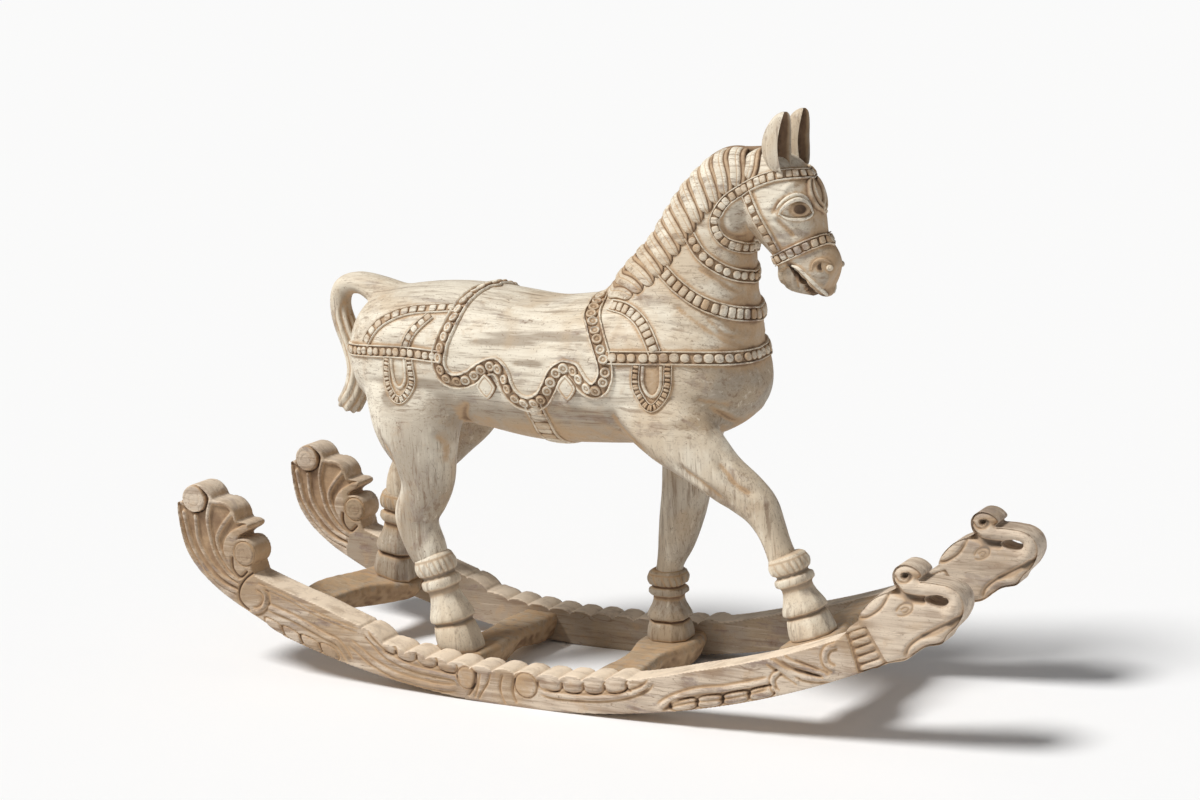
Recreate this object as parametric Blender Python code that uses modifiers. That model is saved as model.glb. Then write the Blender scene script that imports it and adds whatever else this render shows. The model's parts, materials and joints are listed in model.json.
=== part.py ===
# Carved wooden rocking horse with elephant-headed rockers
import bpy
import bmesh
import math
from mathutils import Matrix, Vector
from mathutils.bvhtree import BVHTree

# Driving dimensions, in metres
ROCKER_SPACING = 0.300
PLANK_THICKNESS = 0.046
ROCKER_RADIUS = 1.379
PLUME_TIP_X = -0.664
TRUNK_TIP_X = 0.650
CONTACT_X = -0.050
FLAT_HALF = 0.060
RAIL_DEPTHS = (
    (-0.520, 0.078), (-0.400, 0.079), (-0.325, 0.071), (-0.270, 0.052), (0.150, 0.052),
    (0.250, 0.058),
)
HOOF_CLEARANCE = 0.042
LEG_Y = 0.5 * (ROCKER_SPACING - PLANK_THICKNESS) - HOOF_CLEARANCE
JOINT_GAP = 0.0003
SLIVER = 0.0004
BAR_HALF = 0.028
HOOF_SEAT = 0.044
BAR_FLARE = 0.055
BAR_DEPTH = 0.038
RELIEF = 0.004
CARVE_SINK = 0.006
FACE_RELIEF = 0.002
RIDGE_SPACING = 0.026
LOCK_COUNT = 13
LOCK_WIDTH = 0.0125
LOCK_RISE = 0.0045
EAR_SPREAD = 0.029
BODY_VOXEL = 0.0075
BODY_FACES = 2200
HORSE_FACES = 5700
FLAT_ANGLE = 1.5
LEG_SIDES = 8
SCALLOP_START = -0.322
SCALLOP_END = 0.140
SCALLOP_COUNT = 12
SCALLOP_RISE = 0.009

# Loft stations: x, z, half depth along the path's normal, half width in y, y
TORSO = [
    (-0.392, 0.502, 0.030, 0.034, 0.0),
    (-0.378, 0.502, 0.066, 0.070, 0.0),
    (-0.350, 0.501, 0.090, 0.098, 0.0),
    (-0.300, 0.500, 0.101, 0.116, 0.0),
    (-0.220, 0.501, 0.105, 0.122, 0.0),
    (-0.140, 0.492, 0.105, 0.120, 0.0),
    (-0.050, 0.480, 0.107, 0.120, 0.0),
    (0.040, 0.484, 0.110, 0.122, 0.0),
    (0.120, 0.490, 0.111, 0.124, 0.0),
    (0.180, 0.490, 0.104, 0.118, 0.0),
    (0.230, 0.492, 0.092, 0.102, 0.0),
    (0.268, 0.495, 0.068, 0.074, 0.0),
    (0.288, 0.498, 0.034, 0.038, 0.0),
]
NECK = [
    (0.150, 0.490, 0.095, 0.100, 0.0),
    (0.163, 0.540, 0.122, 0.098, 0.0),
    (0.184, 0.597, 0.111, 0.079, 0.0),
    (0.203, 0.648, 0.085, 0.063, 0.0),
    (0.220, 0.692, 0.071, 0.054, 0.0),
    (0.242, 0.727, 0.063, 0.049, 0.0),
    (0.271, 0.757, 0.056, 0.046, 0.0),
    (0.300, 0.775, 0.036, 0.037, 0.0),
]
HEAD = [
    (0.290, 0.793, 0.020, 0.024, 0.0),
    (0.304, 0.778, 0.042, 0.039, 0.0),
    (0.320, 0.753, 0.056, 0.047, 0.0),
    (0.334, 0.723, 0.059, 0.049, 0.0),
    (0.348, 0.693, 0.050, 0.042, 0.0),
    (0.359, 0.667, 0.042, 0.035, 0.0),
    (0.369, 0.643, 0.048, 0.032, 0.0),
    (0.369, 0.620, 0.046, 0.030, 0.0),
    (0.367, 0.604, 0.034, 0.023, 0.0),
]
TAIL = [
    (-0.320, 0.570, 0.030, 0.034, 0.0),
    (-0.362, 0.588, 0.024, 0.028, 0.0),
    (-0.400, 0.600, 0.018, 0.021, 0.0),
    (-0.432, 0.592, 0.017, 0.019, 0.0),
    (-0.442, 0.562, 0.016, 0.019, 0.0),
    (-0.434, 0.530, 0.016, 0.020, 0.0),
    (-0.422, 0.500, 0.016, 0.021, 0.0),
    (-0.414, 0.465, 0.017, 0.022, 0.0),
    (-0.421, 0.430, 0.019, 0.024, 0.0),
    (-0.440, 0.400, 0.020, 0.024, 0.0),
]
NEAR_HIND = [
    (-0.268, 0.470, 0.083, 0.048, -0.072),
    (-0.252, 0.400, 0.076, 0.046, -0.084),
    (-0.242, 0.350, 0.054, 0.040, -0.087),
    (-0.240, 0.315, 0.045, 0.035, -0.087),
    (-0.250, 0.285, 0.039, 0.031, -0.086),
    (-0.266, 0.258, 0.035, 0.029, -0.085),
    (-0.262, 0.232, 0.033, 0.028, -0.085),
    (-0.252, 0.208, 0.032, 0.028, -0.085),
    (-0.243, 0.186, 0.028, 0.026, -0.085),
]
FAR_HIND = [
    (-0.262, 0.470, 0.085, 0.048, 0.072),
    (-0.292, 0.400, 0.080, 0.046, 0.084),
    (-0.325, 0.345, 0.056, 0.040, 0.087),
    (-0.358, 0.308, 0.045, 0.035, 0.087),
    (-0.385, 0.282, 0.037, 0.031, 0.086),
    (-0.400, 0.260, 0.032, 0.029, 0.085),
    (-0.408, 0.232, 0.028, 0.026, 0.085),
]
NEAR_FRONT = [
    (0.130, 0.460, 0.060, 0.046, -0.074),
    (0.185, 0.418, 0.056, 0.045, -0.084),
    (0.228, 0.383, 0.045, 0.038, -0.087),
    (0.262, 0.354, 0.036, 0.033, -0.087),
    (0.296, 0.330, 0.032, 0.030, -0.086),
    (0.319, 0.309, 0.028, 0.027, -0.085),
    (0.334, 0.282, 0.022, 0.023, -0.085),
    (0.344, 0.256, 0.020, 0.021, -0.085),
    (0.353, 0.232, 0.022, 0.022, -0.085),
]
FAR_FRONT = [
    (0.150, 0.460, 0.060, 0.046, 0.074),
    (0.132, 0.390, 0.050, 0.043, 0.084),
    (0.119, 0.330, 0.041, 0.036, 0.087),
    (0.113, 0.280, 0.038, 0.034, 0.086),
    (0.104, 0.240, 0.035, 0.031, 0.085),
    (0.093, 0.200, 0.029, 0.027, 0.085),
    (0.081, 0.166, 0.021, 0.022, 0.085),
    (0.077, 0.142, 0.022, 0.022, 0.085),
]
# Feet: sole centre x, z, y, lean of the pastern, tilt of the sole, height factor
FEET = {
    "near_hind": (-0.198, 0.0520, -LEG_Y, -17.0, -2.0, 1.00),
    "far_hind": (-0.430, 0.1030, LEG_Y, 8.0, -14.0, 0.96),
    "near_front": (0.395, 0.1310, -LEG_Y, -19.0, 17.0, 0.80),
    "far_front": (0.076, 0.0470, LEG_Y, 0.0, 0.0, 0.72),
}
# Turned profile of a foot: height above the sole and radius, from the top
FOOT = [
    (0.150, 0.0235),
    (0.146, 0.0300),
    (0.135, 0.0335),
    (0.122, 0.0315),
    (0.116, 0.0255),
    (0.109, 0.0300),
    (0.100, 0.0305),
    (0.092, 0.0245),
    (0.082, 0.0245),
    (0.058, 0.0335),
    (0.046, 0.0340),
    (0.041, 0.0290),
    (0.012, 0.0365),
    (0.000, 0.0355),
]


# Straps: width, sample spacing, x-z points down the near side; the last is on the centre line
CENTRE_STRAPS = {
    "breast_band": (0.018, 0.026, [
        (0.104, 0.522), (0.154, 0.523), (0.206, 0.523), (0.252, 0.520), (0.280, 0.516),
        (0.300, 0.512),
    ]),
    "crupper": (0.016, 0.026, [
        (-0.184, 0.512), (-0.243, 0.516), (-0.300, 0.515), (-0.350, 0.512), (-0.375, 0.510),
    ]),
    "girth": (0.020, 0.030, [(-0.026, 0.446), (-0.020, 0.420), (-0.022, 0.395), (-0.024, 0.350)]),
    "upper_collar": (0.017, 0.020, [
        (0.211, 0.690), (0.227, 0.665), (0.248, 0.646), (0.271, 0.632), (0.300, 0.620),
    ]),
    "lower_collar": (0.019, 0.022, [
        (0.172, 0.640), (0.196, 0.620), (0.228, 0.598), (0.262, 0.582), (0.304, 0.568),
    ]),
    "drape_fold": (0.012, 0.024, [(0.222, 0.583), (0.250, 0.561), (0.274, 0.540), (0.304, 0.524)]),
}
# Closed loops round the body: the first and last points are on the centre line
LOOP_STRAPS = {
    "cheek_loop": (0.015, 0.016, [
        (0.377, 0.772), (0.357, 0.774), (0.332, 0.771), (0.300, 0.759), (0.270, 0.742),
        (0.252, 0.722), (0.248, 0.704), (0.257, 0.684), (0.274, 0.672), (0.300, 0.664),
    ]),
    "nose_band": (0.015, 0.014, [(0.410, 0.684), (0.386, 0.678), (0.360, 0.667), (0.325, 0.652)]),
    "cloth_border": (0.017, 0.017, [
        (-0.154, 0.620), (-0.161, 0.597), (-0.163, 0.582), (-0.167, 0.558), (-0.176, 0.532),
        (-0.181, 0.503), (-0.171, 0.482), (-0.150, 0.478), (-0.128, 0.484), (-0.104, 0.499),
        (-0.084, 0.503), (-0.071, 0.490), (-0.064, 0.469), (-0.052, 0.455), (-0.031, 0.449),
        (-0.009, 0.457), (0.006, 0.476), (0.017, 0.496), (0.034, 0.506), (0.050, 0.502),
        (0.062, 0.485), (0.077, 0.474), (0.093, 0.480), (0.102, 0.498), (0.098, 0.520),
        (0.087, 0.541), (0.074, 0.560), (0.058, 0.581), (0.044, 0.620),
    ]),
}
# Straps that stay on one side and are repeated on the other
SIDE_STRAPS = {
    "shoulder_arc": (0.018, 0.024, [
        (0.086, 0.588), (0.116, 0.586), (0.142, 0.573), (0.164, 0.551), (0.177, 0.530),
    ]),
    "cheek_strap": (0.012, 0.020, [(0.294, 0.748), (0.306, 0.722), (0.318, 0.697), (0.331, 0.666)]),
    "rump_arc": (0.016, 0.026, [
        (-0.322, 0.524), (-0.306, 0.548), (-0.280, 0.565), (-0.240, 0.576), (-0.172, 0.580),
    ]),
    "rump_branch": (0.013, 0.024, [(-0.243, 0.520), (-0.232, 0.546), (-0.206, 0.570)]),
    "rump_pendant": (0.011, 0.022, [
        (-0.276, 0.507), (-0.279, 0.470), (-0.256, 0.441), (-0.234, 0.470), (-0.235, 0.507),
    ]),
    "chest_pendant": (0.011, 0.022, [
        (0.151, 0.514), (0.150, 0.478), (0.173, 0.450), (0.194, 0.478), (0.197, 0.514),
    ]),
}
# Mane: the crest's line on top of the neck and the line where the locks end
CREST = [
    (0.080, 0.606), (0.112, 0.658), (0.143, 0.704), (0.176, 0.744), (0.218, 0.777), (0.262, 0.795),
    (0.300, 0.799),
]
HAIRLINE = [
    (0.128, 0.602), (0.160, 0.625), (0.184, 0.653), (0.206, 0.684), (0.230, 0.716), (0.258, 0.742),
    (0.296, 0.768),
]
# Rocker carving: ridges as width and x-z points, discs as x, z and radius
BOTH_FACE_RIDGES = [
    (0.012, [(-0.548, 0.121), (-0.588, 0.148), (-0.624, 0.186), (-0.650, 0.250)]),
    (0.014, [(-0.545, 0.133), (-0.580, 0.160), (-0.608, 0.200), (-0.622, 0.244)]),
    (0.014, [(-0.542, 0.144), (-0.566, 0.168), (-0.584, 0.200), (-0.588, 0.240)]),
    (0.012, [(-0.538, 0.152), (-0.556, 0.172), (-0.564, 0.198), (-0.552, 0.226)]),
    (0.010, [(0.500, 0.187), (0.516, 0.190), (0.532, 0.202), (0.544, 0.222)]),
    (0.010, [(0.570, 0.147), (0.588, 0.165), (0.612, 0.178), (0.636, 0.200)]),
    (0.013, [(0.488, 0.158), (0.508, 0.168)]),
    (0.013, [(0.494, 0.141), (0.516, 0.151)]),
    (0.013, [(0.500, 0.124), (0.525, 0.136)]),
]
OUTER_RIDGES = [
    (0.008, [(-0.500, 0.112), (-0.436, 0.093), (-0.341, 0.054), (-0.270, 0.023), (-0.180, 0.014)]),
    (0.008, [(-0.002, 0.025), (0.060, 0.028), (0.110, 0.038), (0.142, 0.056)]),
    (0.008, [(0.150, 0.020), (0.190, 0.042), (0.290, 0.062), (0.372, 0.088)]),
    (0.012, [(0.372, 0.110), (0.410, 0.112), (0.440, 0.104)]),
    (0.010, [(-0.100, 0.016), (-0.078, 0.030), (-0.082, 0.048)]),
]
BOTH_FACE_DISCS = [(-0.630, 0.272, 0.018), (-0.538, 0.192, 0.016)]
OUTER_DISCS = [(-0.528, 0.128, 0.022), (-0.132, 0.034, 0.018), (-0.026, 0.034, 0.018), (0.454, 0.128, 0.016)]
# Ears: x, z, half depth, half width
EAR = [
    (0.336, 0.776, 0.018, 0.014),
    (0.334, 0.797, 0.020, 0.015),
    (0.337, 0.822, 0.020, 0.014),
    (0.342, 0.846, 0.014, 0.010),
    (0.350, 0.861, 0.005, 0.004),
]


def material(name, colour, roughness):
    """Painted or bare timber."""
    mat = bpy.data.materials.new(name)
    mat.use_nodes = True
    bsdf = mat.node_tree.nodes["Principled BSDF"]
    bsdf.inputs["Base Color"].default_value = colour
    bsdf.inputs["Roughness"].default_value = roughness
    bsdf.inputs["Metallic"].default_value = 0.0
    return mat


def path_frames(points):
    """Tangents of a path in the x-z plane, by neighbouring points."""
    frames = []
    for i, point in enumerate(points):
        before = points[max(i - 1, 0)]
        after = points[min(i + 1, len(points) - 1)]
        tangent = (after - before).normalized()
        side = Vector((0.0, 1.0, 0.0))
        normal = side.cross(tangent).normalized()
        frames.append((point, tangent, normal, side))
    return frames


def add_tube(bm, rings):
    """Skin closed rings of equal size and cap both ends."""
    loops = [[bm.verts.new(p) for p in ring] for ring in rings]
    count = len(loops[0])
    for low, high in zip(loops, loops[1:]):
        for i in range(count):
            j = (i + 1) % count
            bm.faces.new((low[i], low[j], high[j], high[i]))
    bm.faces.new(list(reversed(loops[0])))
    bm.faces.new(loops[-1])


def superellipse(angle, power):
    """Unit superellipse point; power 2 is a circle."""
    c, s = math.cos(angle), math.sin(angle)
    k = 2.0 / power
    return math.copysign(abs(c) ** k, c), math.copysign(abs(s) ** k, s)


def loft(bm, stations, sides=20, power=2.0):
    """Tube through elliptical stations."""
    points = [Vector((s[0], s[4], s[1])) for s in stations]
    rings = []
    for (point, _, normal, side), station in zip(path_frames(points), stations):
        ring = []
        for i in range(sides):
            u, v = superellipse(2.0 * math.pi * (i + 0.5) / sides, power)
            ring.append(point + normal * (u * station[2]) + side * (v * station[3]))
        rings.append(ring)
    add_tube(bm, rings)


def stance(stations):
    """Leg stations with the hip fixed in the body and the foot at its place between the rockers."""
    foot_y = stations[-1][4]
    shift = math.copysign(LEG_Y, foot_y) - foot_y
    top, low = stations[0][1], stations[-1][1]
    return [(x, z, a, b, y + shift * (top - z) / (top - low)) for x, z, a, b, y in stations]


def new_object(name, bm, collection):
    """Outward-facing object from a bmesh."""
    bmesh.ops.recalc_face_normals(bm, faces=bm.faces[:])
    mesh = bpy.data.meshes.new(name)
    bm.to_mesh(mesh)
    bm.free()
    obj = bpy.data.objects.new(name, mesh)
    collection.objects.link(obj)
    return obj


def evaluated_copy(obj, name, collection):
    """Plain mesh object from an object's evaluated shape."""
    graph = bpy.context.evaluated_depsgraph_get()
    mesh = bpy.data.meshes.new_from_object(obj.evaluated_get(graph))
    mesh.name = name
    place = obj.matrix_world.copy()
    bpy.data.objects.remove(obj)
    copy = bpy.data.objects.new(name, mesh)
    copy.matrix_world = place
    collection.objects.link(copy)
    return copy


def boolean(target, tool, operation):
    """Boolean with a hidden wire tool; both are closed, and thin straps cross at grazing angles."""
    tool.hide_render = True
    tool.display_type = "WIRE"
    modifier = target.modifiers.new(tool.name, "BOOLEAN")
    modifier.operation = operation
    modifier.solver = "MANIFOLD"
    modifier.object = tool


def carved_body(parts, cutters):
    """Torso, neck, head, tail and upper legs fused into one rounded form."""
    bm = bmesh.new()
    loft(bm, TORSO, 24, 2.3)
    loft(bm, NECK, 20, 2.1)
    loft(bm, HEAD, 20, 2.2)
    loft(bm, TAIL, 12, 2.0)
    for leg in (NEAR_HIND, FAR_HIND, NEAR_FRONT, FAR_FRONT):
        loft(bm, stance(leg), 16, 2.1)
    block = new_object("body_block", bm, cutters)
    remesh = block.modifiers.new("fuse", "REMESH")
    remesh.mode = "VOXEL"
    remesh.voxel_size = BODY_VOXEL
    soften = block.modifiers.new("soften", "SMOOTH")
    soften.factor = 0.5
    soften.iterations = 5
    bpy.context.view_layer.update()
    graph = bpy.context.evaluated_depsgraph_get()
    fused = block.evaluated_get(graph)
    total = sum(len(p.vertices) - 2 for p in fused.data.polygons)
    facet = block.modifiers.new("facet", "DECIMATE")
    facet.ratio = BODY_FACES / total
    facet.use_collapse_triangulate = True
    bpy.context.view_layer.update()
    return evaluated_copy(block, "horse", parts)


def smooth_path(points, spacing):
    """Evenly spaced points on a spline through the given ones."""
    dense = []
    count = len(points)
    for i in range(count - 1):
        p0, p1 = points[max(i - 1, 0)], points[i]
        p2, p3 = points[i + 1], points[min(i + 2, count - 1)]
        for step in range(8):
            t = step / 8
            a = 0.5 * (2.0 * p1 + (p2 - p0) * t)
            b = 0.5 * ((2.0 * p0 - 5.0 * p1 + 4.0 * p2 - p3) * t ** 2)
            c = 0.5 * ((3.0 * p1 - p0 - 3.0 * p2 + p3) * t ** 3)
            dense.append(a + b + c)
    dense.append(points[-1])
    lengths = [0.0]
    for a, b in zip(dense, dense[1:]):
        lengths.append(lengths[-1] + (b - a).length)
    steps = max(2, round(lengths[-1] / spacing))
    even = []
    k = 0
    for i in range(steps + 1):
        want = lengths[-1] * i / steps
        while k < len(dense) - 2 and lengths[k + 1] < want:
            k += 1
        span = max(lengths[k + 1] - lengths[k], 1e-9)
        even.append(dense[k].lerp(dense[k + 1], (want - lengths[k]) / span))
    return even


def drape(tree, path, side):
    """Drop side-view points on the body, from one side; a miss falls on the centre line."""
    hits = []
    for point in path:
        hit = tree.ray_cast(Vector((point.x, side * 0.4, point.z)), Vector((0.0, -side, 0.0)))
        if hit[0] is None:
            hit = tree.find_nearest(Vector((point.x, 0.0, point.z)))
            hits.append((Vector((hit[0].x, 0.0, hit[0].z)), Vector((hit[1].x, 0.0, hit[1].z)).normalized()))
        else:
            hits.append((hit[0], hit[1]))
    return hits


def strap_rings(hits, profile, closed):
    """Cross-sections along a draped path; the profile is (across, above the surface)."""
    count = len(hits)
    rings = []
    for i, (point, _) in enumerate(hits):
        before = hits[(i - 1) % count] if closed else hits[max(i - 1, 0)]
        after = hits[(i + 1) % count] if closed else hits[min(i + 1, count - 1)]
        normal = (before[1] + 2.0 * hits[i][1] + after[1]).normalized()
        tangent = (after[0] - before[0]).normalized()
        across = normal.cross(tangent).normalized()
        rings.append([point + across * u + normal * v for u, v in profile])
    return rings


def band_profile(width, rise):
    """Flat strap, sunk into the wood."""
    half = 0.5 * width
    return [(-half, -CARVE_SINK), (half, -CARVE_SINK), (0.92 * half, rise), (-0.92 * half, rise)]


def add_ring_tube(bm, rings):
    """Skin rings that close on themselves."""
    loops = [[bm.verts.new(p) for p in ring] for ring in rings]
    count = len(loops[0])
    for low, high in zip(loops, loops[1:] + loops[:1]):
        for i in range(count):
            j = (i + 1) % count
            bm.faces.new((low[i], low[j], high[j], high[i]))


def side_points(pairs):
    """Side-view pairs as points in the centre plane."""
    return [Vector((x, 0.0, z)) for x, z in pairs]


def strap_tools(tree, cutters):
    """Every carved strap as a closed solid."""
    tools = []
    for name, (width, spacing, pairs) in CENTRE_STRAPS.items():
        path = smooth_path(side_points(pairs), spacing)
        hits = drape(tree, path, -1.0) + list(reversed(drape(tree, path[:-1], 1.0)))
        bm = bmesh.new()
        add_tube(bm, strap_rings(hits, band_profile(width, RELIEF), False))
        tools.append(new_object(name, bm, cutters))
    for name, (width, spacing, pairs) in LOOP_STRAPS.items():
        path = smooth_path(side_points(pairs), spacing)
        hits = drape(tree, path, -1.0) + list(reversed(drape(tree, path[1:-1], 1.0)))
        bm = bmesh.new()
        add_ring_tube(bm, strap_rings(hits, band_profile(width, RELIEF), True))
        tools.append(new_object(name, bm, cutters))
    for name, (width, spacing, pairs) in SIDE_STRAPS.items():
        path = smooth_path(side_points(pairs), spacing)
        for side in (-1.0, 1.0):
            bm = bmesh.new()
            add_tube(bm, strap_rings(drape(tree, path, side), band_profile(width, RELIEF), False))
            tools.append(new_object(name, bm, cutters))
    return tools


def mane_tools(tree, cutters):
    """S-curved locks from the crest to the hairline on both sides."""
    tools = []
    crest = smooth_path(side_points(CREST), 0.002)
    hairline = smooth_path(side_points(HAIRLINE), 0.002)
    for side in (-1.0, 1.0):
        bm = bmesh.new()
        for lock in range(LOCK_COUNT):
            t = (lock + 0.5) / LOCK_COUNT
            top = crest[round(t * (len(crest) - 1))]
            foot = hairline[round(t * (len(hairline) - 1))]
            line = foot - top
            bend = Vector((-line.z, 0.0, line.x)).normalized() * 0.006
            path = []
            for step in range(5):
                u = step / 4
                path.append(top + line * (0.06 + 0.90 * u) + bend * math.sin(2.0 * math.pi * u))
            half = 0.5 * LOCK_WIDTH
            profile = [(-half, -CARVE_SINK), (half, -CARVE_SINK), (0.0, LOCK_RISE)]
            add_tube(bm, strap_rings(drape(tree, path, side), profile, False))
        tools.append(new_object("mane_locks", bm, cutters))
    return tools


def ear_tool(side, cutters):
    """Leaf-shaped ear, hollowed towards the front."""
    bm = bmesh.new()
    rings = []
    for i, (x, z, depth, width) in enumerate(EAR):
        y = side * (EAR_SPREAD + 0.001 * i)
        ring = [Vector((x - 0.35 * depth, y, z))]
        for step in range(7):
            angle = math.radians(28.0 + 304.0 * step / 6)
            ring.append(Vector((x + depth * math.cos(angle), y + width * math.sin(angle), z)))
        rings.append(ring)
    add_tube(bm, rings)
    return new_object("ear", bm, cutters)


def eye_tool(side, cutters):
    """Bulging eye under its lid."""
    bm = bmesh.new()
    bmesh.ops.create_uvsphere(bm, u_segments=8, v_segments=6, radius=0.013)
    bmesh.ops.scale(bm, vec=(1.25, 0.62, 0.85), verts=bm.verts[:])
    bmesh.ops.translate(bm, vec=(0.368, side * 0.034, 0.728), verts=bm.verts[:])
    return new_object("eye", bm, cutters)


def mouth_cutter(cutters):
    """Wedge between the lips, open to the front and both sides."""
    bm = bmesh.new()
    wedge = [(0.352, 0.648), (0.398, 0.594), (0.384, 0.592)]
    rings = [[Vector((x, y, z)) for x, z in wedge] for y in (-0.06, 0.06)]
    add_tube(bm, rings)
    return new_object("mouth", bm, cutters)


def foot_frame(foot):
    """Sole centre, axis up the pastern and sole tilt axes."""
    x, z, y, lean, sole, _ = foot
    up = Vector((math.sin(math.radians(lean)), 0.0, math.cos(math.radians(lean))))
    along = Vector((math.cos(math.radians(sole)), 0.0, math.sin(math.radians(sole))))
    return Vector((x, y, z)), up, along


def add_foot(bm, foot, sides):
    """Ringed pastern and hoof; the sole lies in the crossbar's top plane."""
    centre, up, along = foot_frame(foot)
    level = Vector((up.z, 0.0, -up.x))
    rings = []
    for height, radius in reversed(FOOT):
        mix = min(height / 0.060, 1.0)
        front = along.lerp(level, mix).normalized()
        ring = []
        for i in range(sides):
            u, v = superellipse(2.0 * math.pi * (i + 0.5) / sides, 2.6)
            spread = front * (u * radius) + Vector((0.0, v * radius * 0.95, 0.0))
            ring.append(centre + up * (height * foot[5]) + spread)
        rings.append(ring)
    add_tube(bm, rings)


def arc(cx, cz, radius, start, end, count):
    """Points on an arc, angles in degrees."""
    return [
        (
            cx + radius * math.cos(math.radians(start + (end - start) * i / (count - 1))),
            cz + radius * math.sin(math.radians(start + (end - start) * i / (count - 1))),
        )
        for i in range(count)
    ]


def under_z(x):
    """Height of the rocker's underside, with its short worn flat."""
    drop = math.sqrt(ROCKER_RADIUS ** 2 - FLAT_HALF ** 2)
    reach = max(abs(x - CONTACT_X), FLAT_HALF)
    return drop - math.sqrt(ROCKER_RADIUS ** 2 - reach ** 2)


def rail_top(x):
    """Height of the rail's top edge: slim in the middle, deep behind, fuller ahead."""
    knots = RAIL_DEPTHS
    for (x0, d0), (x1, d1) in zip(knots, knots[1:]):
        if x <= x1:
            mix = max(0.0, (x - x0) / (x1 - x0))
            return under_z(x) + d0 + (d1 - d0) * mix
    return under_z(x) + knots[-1][1]


def rocker_outline():
    """Side outline: underside, elephant head, rail with scallops, plume."""
    points = []
    for start, end, steps in (
        (-0.470, CONTACT_X - FLAT_HALF, 11),
        (CONTACT_X + FLAT_HALF, 0.520, 14),
    ):
        for i in range(steps + 1):
            x = start + (end - start) * i / steps
            points.append((x, under_z(x)))
    # Chin, lower lip and the trunk's outer curve
    points += [
        (0.541, 0.131), (0.566, 0.138), (0.582, 0.152), (0.597, 0.160), (0.618, 0.166),
        (0.624, 0.176),
    ]
    points += [
        (0.638, 0.192), (0.649, 0.210), (TRUNK_TIP_X, 0.224), (0.644, 0.237), (0.630, 0.246),
        (0.606, 0.249), (0.584, 0.249),
    ]
    # Curled tip
    points += [(0.574, 0.252), (0.584, 0.257), (0.583, 0.263)]
    points += arc(0.567, 0.254, 0.016, 75, 205, 6)
    # Slot between trunk and brow
    points += [
        (0.560, 0.235), (0.585, 0.229), (0.612, 0.234), (0.626, 0.232), (0.630, 0.222),
        (0.618, 0.214), (0.592, 0.219), (0.556, 0.226),
    ]
    # Ear dome and collar
    points += [
        (0.546, 0.230), (0.524, 0.220), (0.506, 0.203), (0.500, 0.190), (0.500, 0.180),
        (0.486, 0.177), (0.479, 0.168),
    ]
    points += [(0.478, rail_top(0.478) + 0.001)]
    # Rail top, front to back, with half-round scallops
    for i in range(5):
        x = 0.440 + (SCALLOP_END - 0.440) * i / 4
        points.append((x, rail_top(x)))
    pitch = (SCALLOP_END - SCALLOP_START) / SCALLOP_COUNT
    for lobe in range(SCALLOP_COUNT):
        centre = SCALLOP_END - pitch * (lobe + 0.5)
        for step in range(1, 5):
            angle = math.pi * step / 5
            x = centre + 0.5 * pitch * math.cos(angle)
            points.append((x, rail_top(x) - 0.004 + SCALLOP_RISE * math.sin(angle)))
    for i in range(4):
        x = SCALLOP_START - 0.004 + (-0.522 - SCALLOP_START) * i / 3
        points.append((x, rail_top(x)))
    # Scrolls of the plume, from the rail up
    points += arc(-0.539, 0.194, 0.0225, -55, 120, 8)
    points += [(-0.545, 0.222), (-0.527, 0.232), (-0.529, 0.241), (-0.548, 0.243)]
    points += arc(-0.578, 0.245, 0.030, 10, 100, 6)
    points += arc(-0.622, 0.268, 0.031, 15, 180, 9)
    points += [
        (PLUME_TIP_X, 0.264), (-0.661, 0.223), (-0.651, 0.188), (-0.627, 0.156), (-0.590, 0.127),
        (-0.552, 0.106), (-0.511, 0.086),
    ]
    return points


def outline_plate(name, outline, thickness, y, collection):
    """Flat outline in the x-z plane, filled and extruded across y."""
    curve = bpy.data.curves.new(name, "CURVE")
    curve.dimensions = "2D"
    curve.fill_mode = "BOTH"
    curve.extrude = 0.5 * thickness
    spline = curve.splines.new("POLY")
    spline.points.add(len(outline) - 1)
    for point, (x, z) in zip(spline.points, outline):
        point.co = (x, z, 0.0, 1.0)
    spline.use_cyclic_u = True
    obj = bpy.data.objects.new(name, curve)
    obj.rotation_euler = (math.radians(90.0), 0.0, 0.0)
    obj.location = (0.0, y, 0.0)
    collection.objects.link(obj)
    bpy.context.view_layer.update()
    return evaluated_copy(obj, name, collection)


def weld(obj):
    """Join the curve's loose caps."""
    bm = bmesh.new()
    bm.from_mesh(obj.data)
    bmesh.ops.remove_doubles(bm, verts=bm.verts[:], dist=0.00001)
    bmesh.ops.recalc_face_normals(bm, faces=bm.faces[:])
    bm.to_mesh(obj.data)
    bm.free()


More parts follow.
